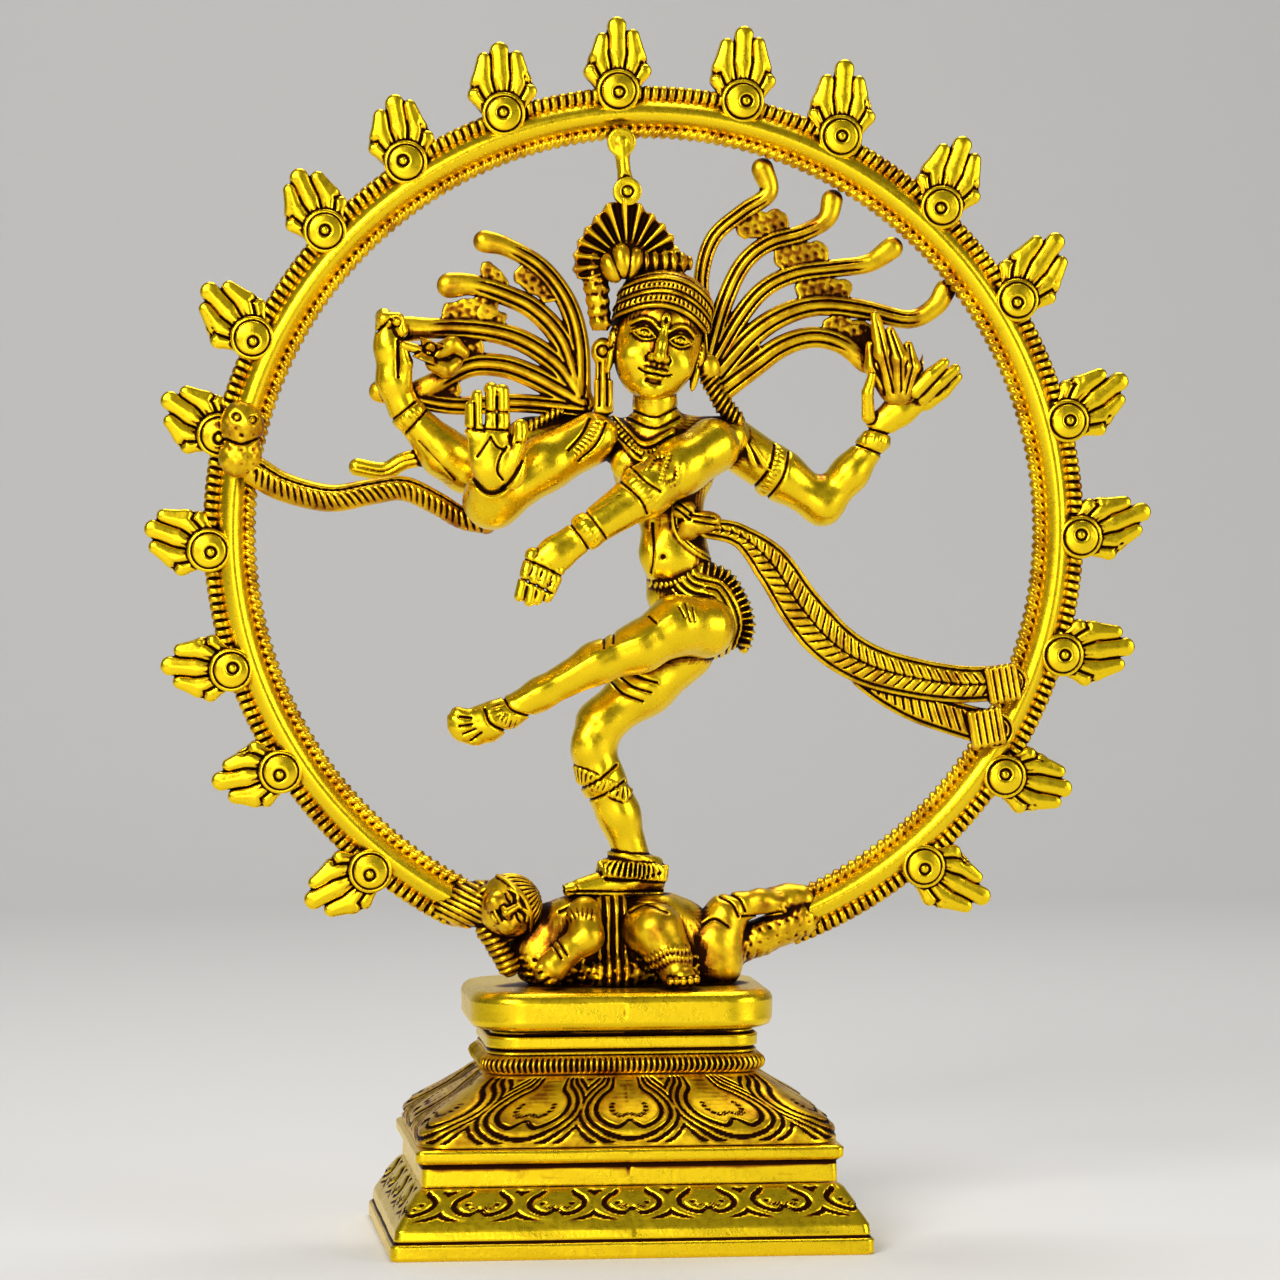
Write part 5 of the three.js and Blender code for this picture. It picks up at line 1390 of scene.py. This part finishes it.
def new_material(name, polish, patina_and_shade, rough, wear, start):
    """Cast metal: polished where it stands proud, dark where its cavity attribute is high, which stands for
    both patinated hollows and painted shade between close parts. The dark colour sets in from start on, wear
    is how far the noise shifts that, and rough is the polished metal's."""
    material = bpy.data.materials.new(name)
    material.use_nodes = True
    tree = material.node_tree
    shader = tree.nodes["Principled BSDF"]
    shader.inputs["Metallic"].default_value = 1.0

    place = tree.nodes.new("ShaderNodeTexCoord")
    cavity = tree.nodes.new("ShaderNodeAttribute")
    cavity.attribute_name = "cavity"
    cloud = noise_node(tree, place, 260.0, 5.0)
    cloud.inputs["Roughness"].default_value = 0.62
    mottled = tree.nodes.new("ShaderNodeMath")
    mottled.operation = "MULTIPLY_ADD"
    mottled.inputs[1].default_value = wear
    node_link(tree, cloud, "Fac", mottled, 0)
    node_link(tree, cavity, "Fac", mottled, 2)
    shade = tree.nodes.new("ShaderNodeValToRGB")
    node_link(tree, mottled, "Value", shade, "Fac")
    ramp = shade.color_ramp
    ramp.elements[0].position = start + wear * 0.5
    ramp.elements[0].color = (*polish, 1)
    ramp.elements[1].position = start + 0.48 + wear * 0.5
    ramp.elements[1].color = (*patina_and_shade, 1)
    # A reddish-brown step between bright and dark: patina tone, and painted shade on undersides and in
    # recesses.
    middle = ramp.elements.new(start + 0.2 + wear * 0.5)
    middle.color = (polish[0] * 0.4, polish[1] * 0.2, polish[2] * 0.5, 1)
    node_link(tree, shade, "Color", shader, "Base Color")

    smear = noise_node(tree, place, 900.0, 4.0)
    gloss = tree.nodes.new("ShaderNodeMapRange")
    gloss.inputs["To Min"].default_value = rough - 0.07
    gloss.inputs["To Max"].default_value = rough + 0.12
    node_link(tree, smear, "Fac", gloss, "Value")
    dull = tree.nodes.new("ShaderNodeMath")
    dull.operation = "MULTIPLY_ADD"
    dull.inputs[1].default_value = 0.35
    node_link(tree, cavity, "Fac", dull, 0)
    node_link(tree, gloss, "Result", dull, 2)
    node_link(tree, dull, "Value", shader, "Roughness")

    grain = noise_node(tree, place, 1400.0, 6.0)
    bump = tree.nodes.new("ShaderNodeBump")
    bump.inputs["Strength"].default_value = 0.25
    bump.inputs["Distance"].default_value = 0.00012
    node_link(tree, grain, "Fac", bump, "Height")
    node_link(tree, bump, "Normal", shader, "Normal")
    return material


def normals_of(verts, faces):
    a, b, c, d = (verts[faces[:, i]] for i in range(4))
    face = np.cross(c - a, d - b)
    total = np.zeros_like(verts)
    for i in range(4):
        for axis in range(3):
            total[:, axis] += np.bincount(faces[:, i], face[:, axis], len(verts))
    return total / (np.linalg.norm(total, axis=1)[:, None] + 1e-12), np.linalg.norm(face, axis=1) / 2


def blurred(field, cells):
    """The field averaged over a box that reaches this many cells each way, twice over."""
    for axis in range(3):
        for _ in range(2):
            total = np.cumsum(field, axis=axis)
            width = 2 * cells + 1
            pad = [(0, 0)] * 3
            pad[axis] = (cells + 1, cells)
            total = np.pad(total, pad, mode="edge")
            first = [slice(None)] * 3
            last = [slice(None)] * 3
            first[axis] = slice(0, field.shape[axis])
            last[axis] = slice(width, width + field.shape[axis])
            field = (total[tuple(last)] - total[tuple(first)]) / width
    return field


def mark_cavities():
    """Writes each vertex's "cavity" attribute: how closely surface crowds round it, which paints shade
    between and under parts, and how hollow it is, for patinated hollows.
    """
    cell = 0.6
    low = CAD_BOX_LOW - 6
    count = np.ceil((CAD_BOX_HIGH + 6 - low) / cell).astype(int)
    crowd = np.zeros(int(count.prod()), dtype=np.float32)
    normal = []
    for piece, verts, faces in PIECES:
        way, area = normals_of(verts, faces)
        normal.append(way)
        middle = verts[faces].mean(1)
        index = np.clip(((middle - low) / cell).astype(int), 0, count - 1)
        crowd += np.bincount(np.ravel_multi_index(index.T, count), area, len(crowd)).astype(np.float32)
    crowd = crowd.reshape(count)
    # Surface crowding at three reaches: an occlusion-like measure that paints shade where parts come close.
    layers = [(blurred(crowd, 1) / cell ** 3, 0.9, 1.0), (blurred(crowd, 3) / cell ** 3, 1.8, 1.5),
              (blurred(crowd, 6) / cell ** 3, 3.0, 0.9)]
    for (piece, verts, faces), way in zip(PIECES, normal):
        total = np.zeros(len(verts))
        for field, out, share in layers:
            at = np.clip(((verts + way * out - low) / cell).astype(int), 0, count - 1)
            total += share * field[at[:, 0], at[:, 1], at[:, 2]]
        ends_a = faces.ravel()
        ends_b = np.roll(faces, -1, 1).ravel()
        links = np.bincount(ends_a, minlength=len(verts)) + np.bincount(ends_b, minlength=len(verts))
        hollow = np.zeros(len(verts))
        spot = verts
        for _ in range(3):
            mean = np.stack([np.bincount(ends_a, spot[ends_b, i], len(verts))
                             + np.bincount(ends_b, spot[ends_a, i], len(verts)) for i in range(3)], 1)
            spot = mean / np.maximum(links, 1)[:, None]
            hollow += ((spot - verts) * way).sum(1)
        hollow = (np.bincount(ends_a, hollow[ends_b], len(verts))
                  + np.bincount(ends_b, hollow[ends_a], len(verts))) / np.maximum(links, 1)
        # Painted shade from the crowding plus the hollows' patina, clipped to 0..1.
        value = np.clip(0.95 * (total - 0.7) + 15 * hollow, 0, 1)
        attribute = piece.data.attributes.new("cavity", "FLOAT", "POINT")
        attribute.data.foreach_set("value", value.astype(np.float32))


# ---- studio --------------------------------------------------------------------------------------
def plain_material(name, colour, rough):
    material = bpy.data.materials.new(name)
    material.use_nodes = True
    shader = material.node_tree.nodes["Principled BSDF"]
    shader.inputs["Base Color"].default_value = (*colour, 1)
    shader.inputs["Roughness"].default_value = rough
    return material


def make_studio():
    size, flat_end, bend, wall_top = 3.0, 0.66, 0.4, 2.8
    rows = [(-size, 0.0), (flat_end, 0.0)]
    rows += [(flat_end + bend * math.sin(a), bend - bend * math.cos(a))
             for a in np.linspace(0.1, math.pi / 2, 10)]
    rows.append((flat_end + bend, wall_top))
    verts = [(x, y, z) for y, z in rows for x in (-size, size)]
    faces = [(2 * i, 2 * i + 1, 2 * i + 3, 2 * i + 2) for i in range(len(rows) - 1)]
    mesh = bpy.data.meshes.new("studio_floor")
    mesh.from_pydata(verts, [], faces)
    mesh.polygons.foreach_set("use_smooth", [True] * len(faces))
    floor = bpy.data.objects.new("studio_floor", mesh)
    bpy.context.scene.collection.objects.link(floor)
    mesh.materials.append(plain_material("studio_paper", (0.72, 0.71, 0.69), 0.7))


def add_light(name, place, target, size, power):
    light = bpy.data.lights.new(name, "AREA")
    light.size = size
    light.energy = power
    lamp = bpy.data.objects.new(name, light)
    lamp.location = place
    lamp.rotation_euler = (Vector(target) - Vector(place)).to_track_quat("-Z", "Y").to_euler()
    bpy.context.scene.collection.objects.link(lamp)


def make_lights():
    bpy.context.scene.view_settings.view_transform = "Standard"
    middle = (0, 0, 0.1)
    add_light("key", (-0.45, -0.75, 0.55), middle, 0.35, 7.7)
    add_light("fill", (0.8, -0.55, 0.3), middle, 0.5, 3.2)
    add_light("top", (0.1, 0.25, 0.9), middle, 0.5, 4.6)
    add_light("low", (-0.1, -0.9, 0.08), middle, 0.3, 1.0)
    world = bpy.data.worlds.new("studio")
    bpy.context.scene.world = world
    world.use_nodes = True
    world.node_tree.nodes["Background"].inputs["Color"].default_value = (0.55, 0.55, 0.56, 1)
    world.node_tree.nodes["Background"].inputs["Strength"].default_value = 0.28


def make_camera():
    azimuth, elevation, distance = math.radians(-6.5), math.radians(2.0), 0.9
    aim = Vector((-0.0012, 0, RING_Z * MM - 0.0182))
    data = bpy.data.cameras.new("camera")
    data.lens = 152.5
    data.sensor_width = 36
    camera = bpy.data.objects.new("camera", data)
    back = Vector((math.sin(azimuth) * math.cos(elevation), -math.cos(azimuth) * math.cos(elevation),
                   math.sin(elevation)))
    camera.location = aim + back * distance
    camera.rotation_euler = back.to_track_quat("Z", "Y").to_euler()
    bpy.context.scene.collection.objects.link(camera)
    bpy.context.scene.camera = camera


CAD_BOX_LOW, CAD_BOX_HIGH = (np.array(side) / MM for side in CAD_BOX)
make_camera()
make_studio()
make_lights()
make_ring_bar()
make_rope("inner_rope_cast", "ring_inner_rope", ROPE_IN, 0.95, 1.5, 2, 0.26)
make_notched_strip("outer_rope_cast", "ring_outer_rope", ROPE_OUT, 1.25, 1.4, 0.5)
make_crest_strap()
make_flames()
make_pedestal()
make_fixings()
make_figure()

# Each finish: polished colour, then the dark colour for patinated hollows and for painted shade where
# surfaces crowd together.
MATERIALS = {
    "polished_brass": new_material("polished_brass", (0.94, 0.65, 0.012), (0.022, 0.006, 0.0015),
                                   rough=0.26, wear=0.5, start=0.08),
    "aged_brass": new_material("aged_brass", (0.90, 0.58, 0.012), (0.018, 0.005, 0.0012),
                               rough=0.33, wear=0.7, start=-0.05),
    "fixing_steel": new_material("fixing_steel", (0.48, 0.47, 0.45), (0.06, 0.05, 0.045),
                                 rough=0.42, wear=0.2, start=0.14),
}
mark_cavities()
for item, _, _ in PIECES:
    item.data.materials.append(MATERIALS[item.get("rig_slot") or "polished_brass"])
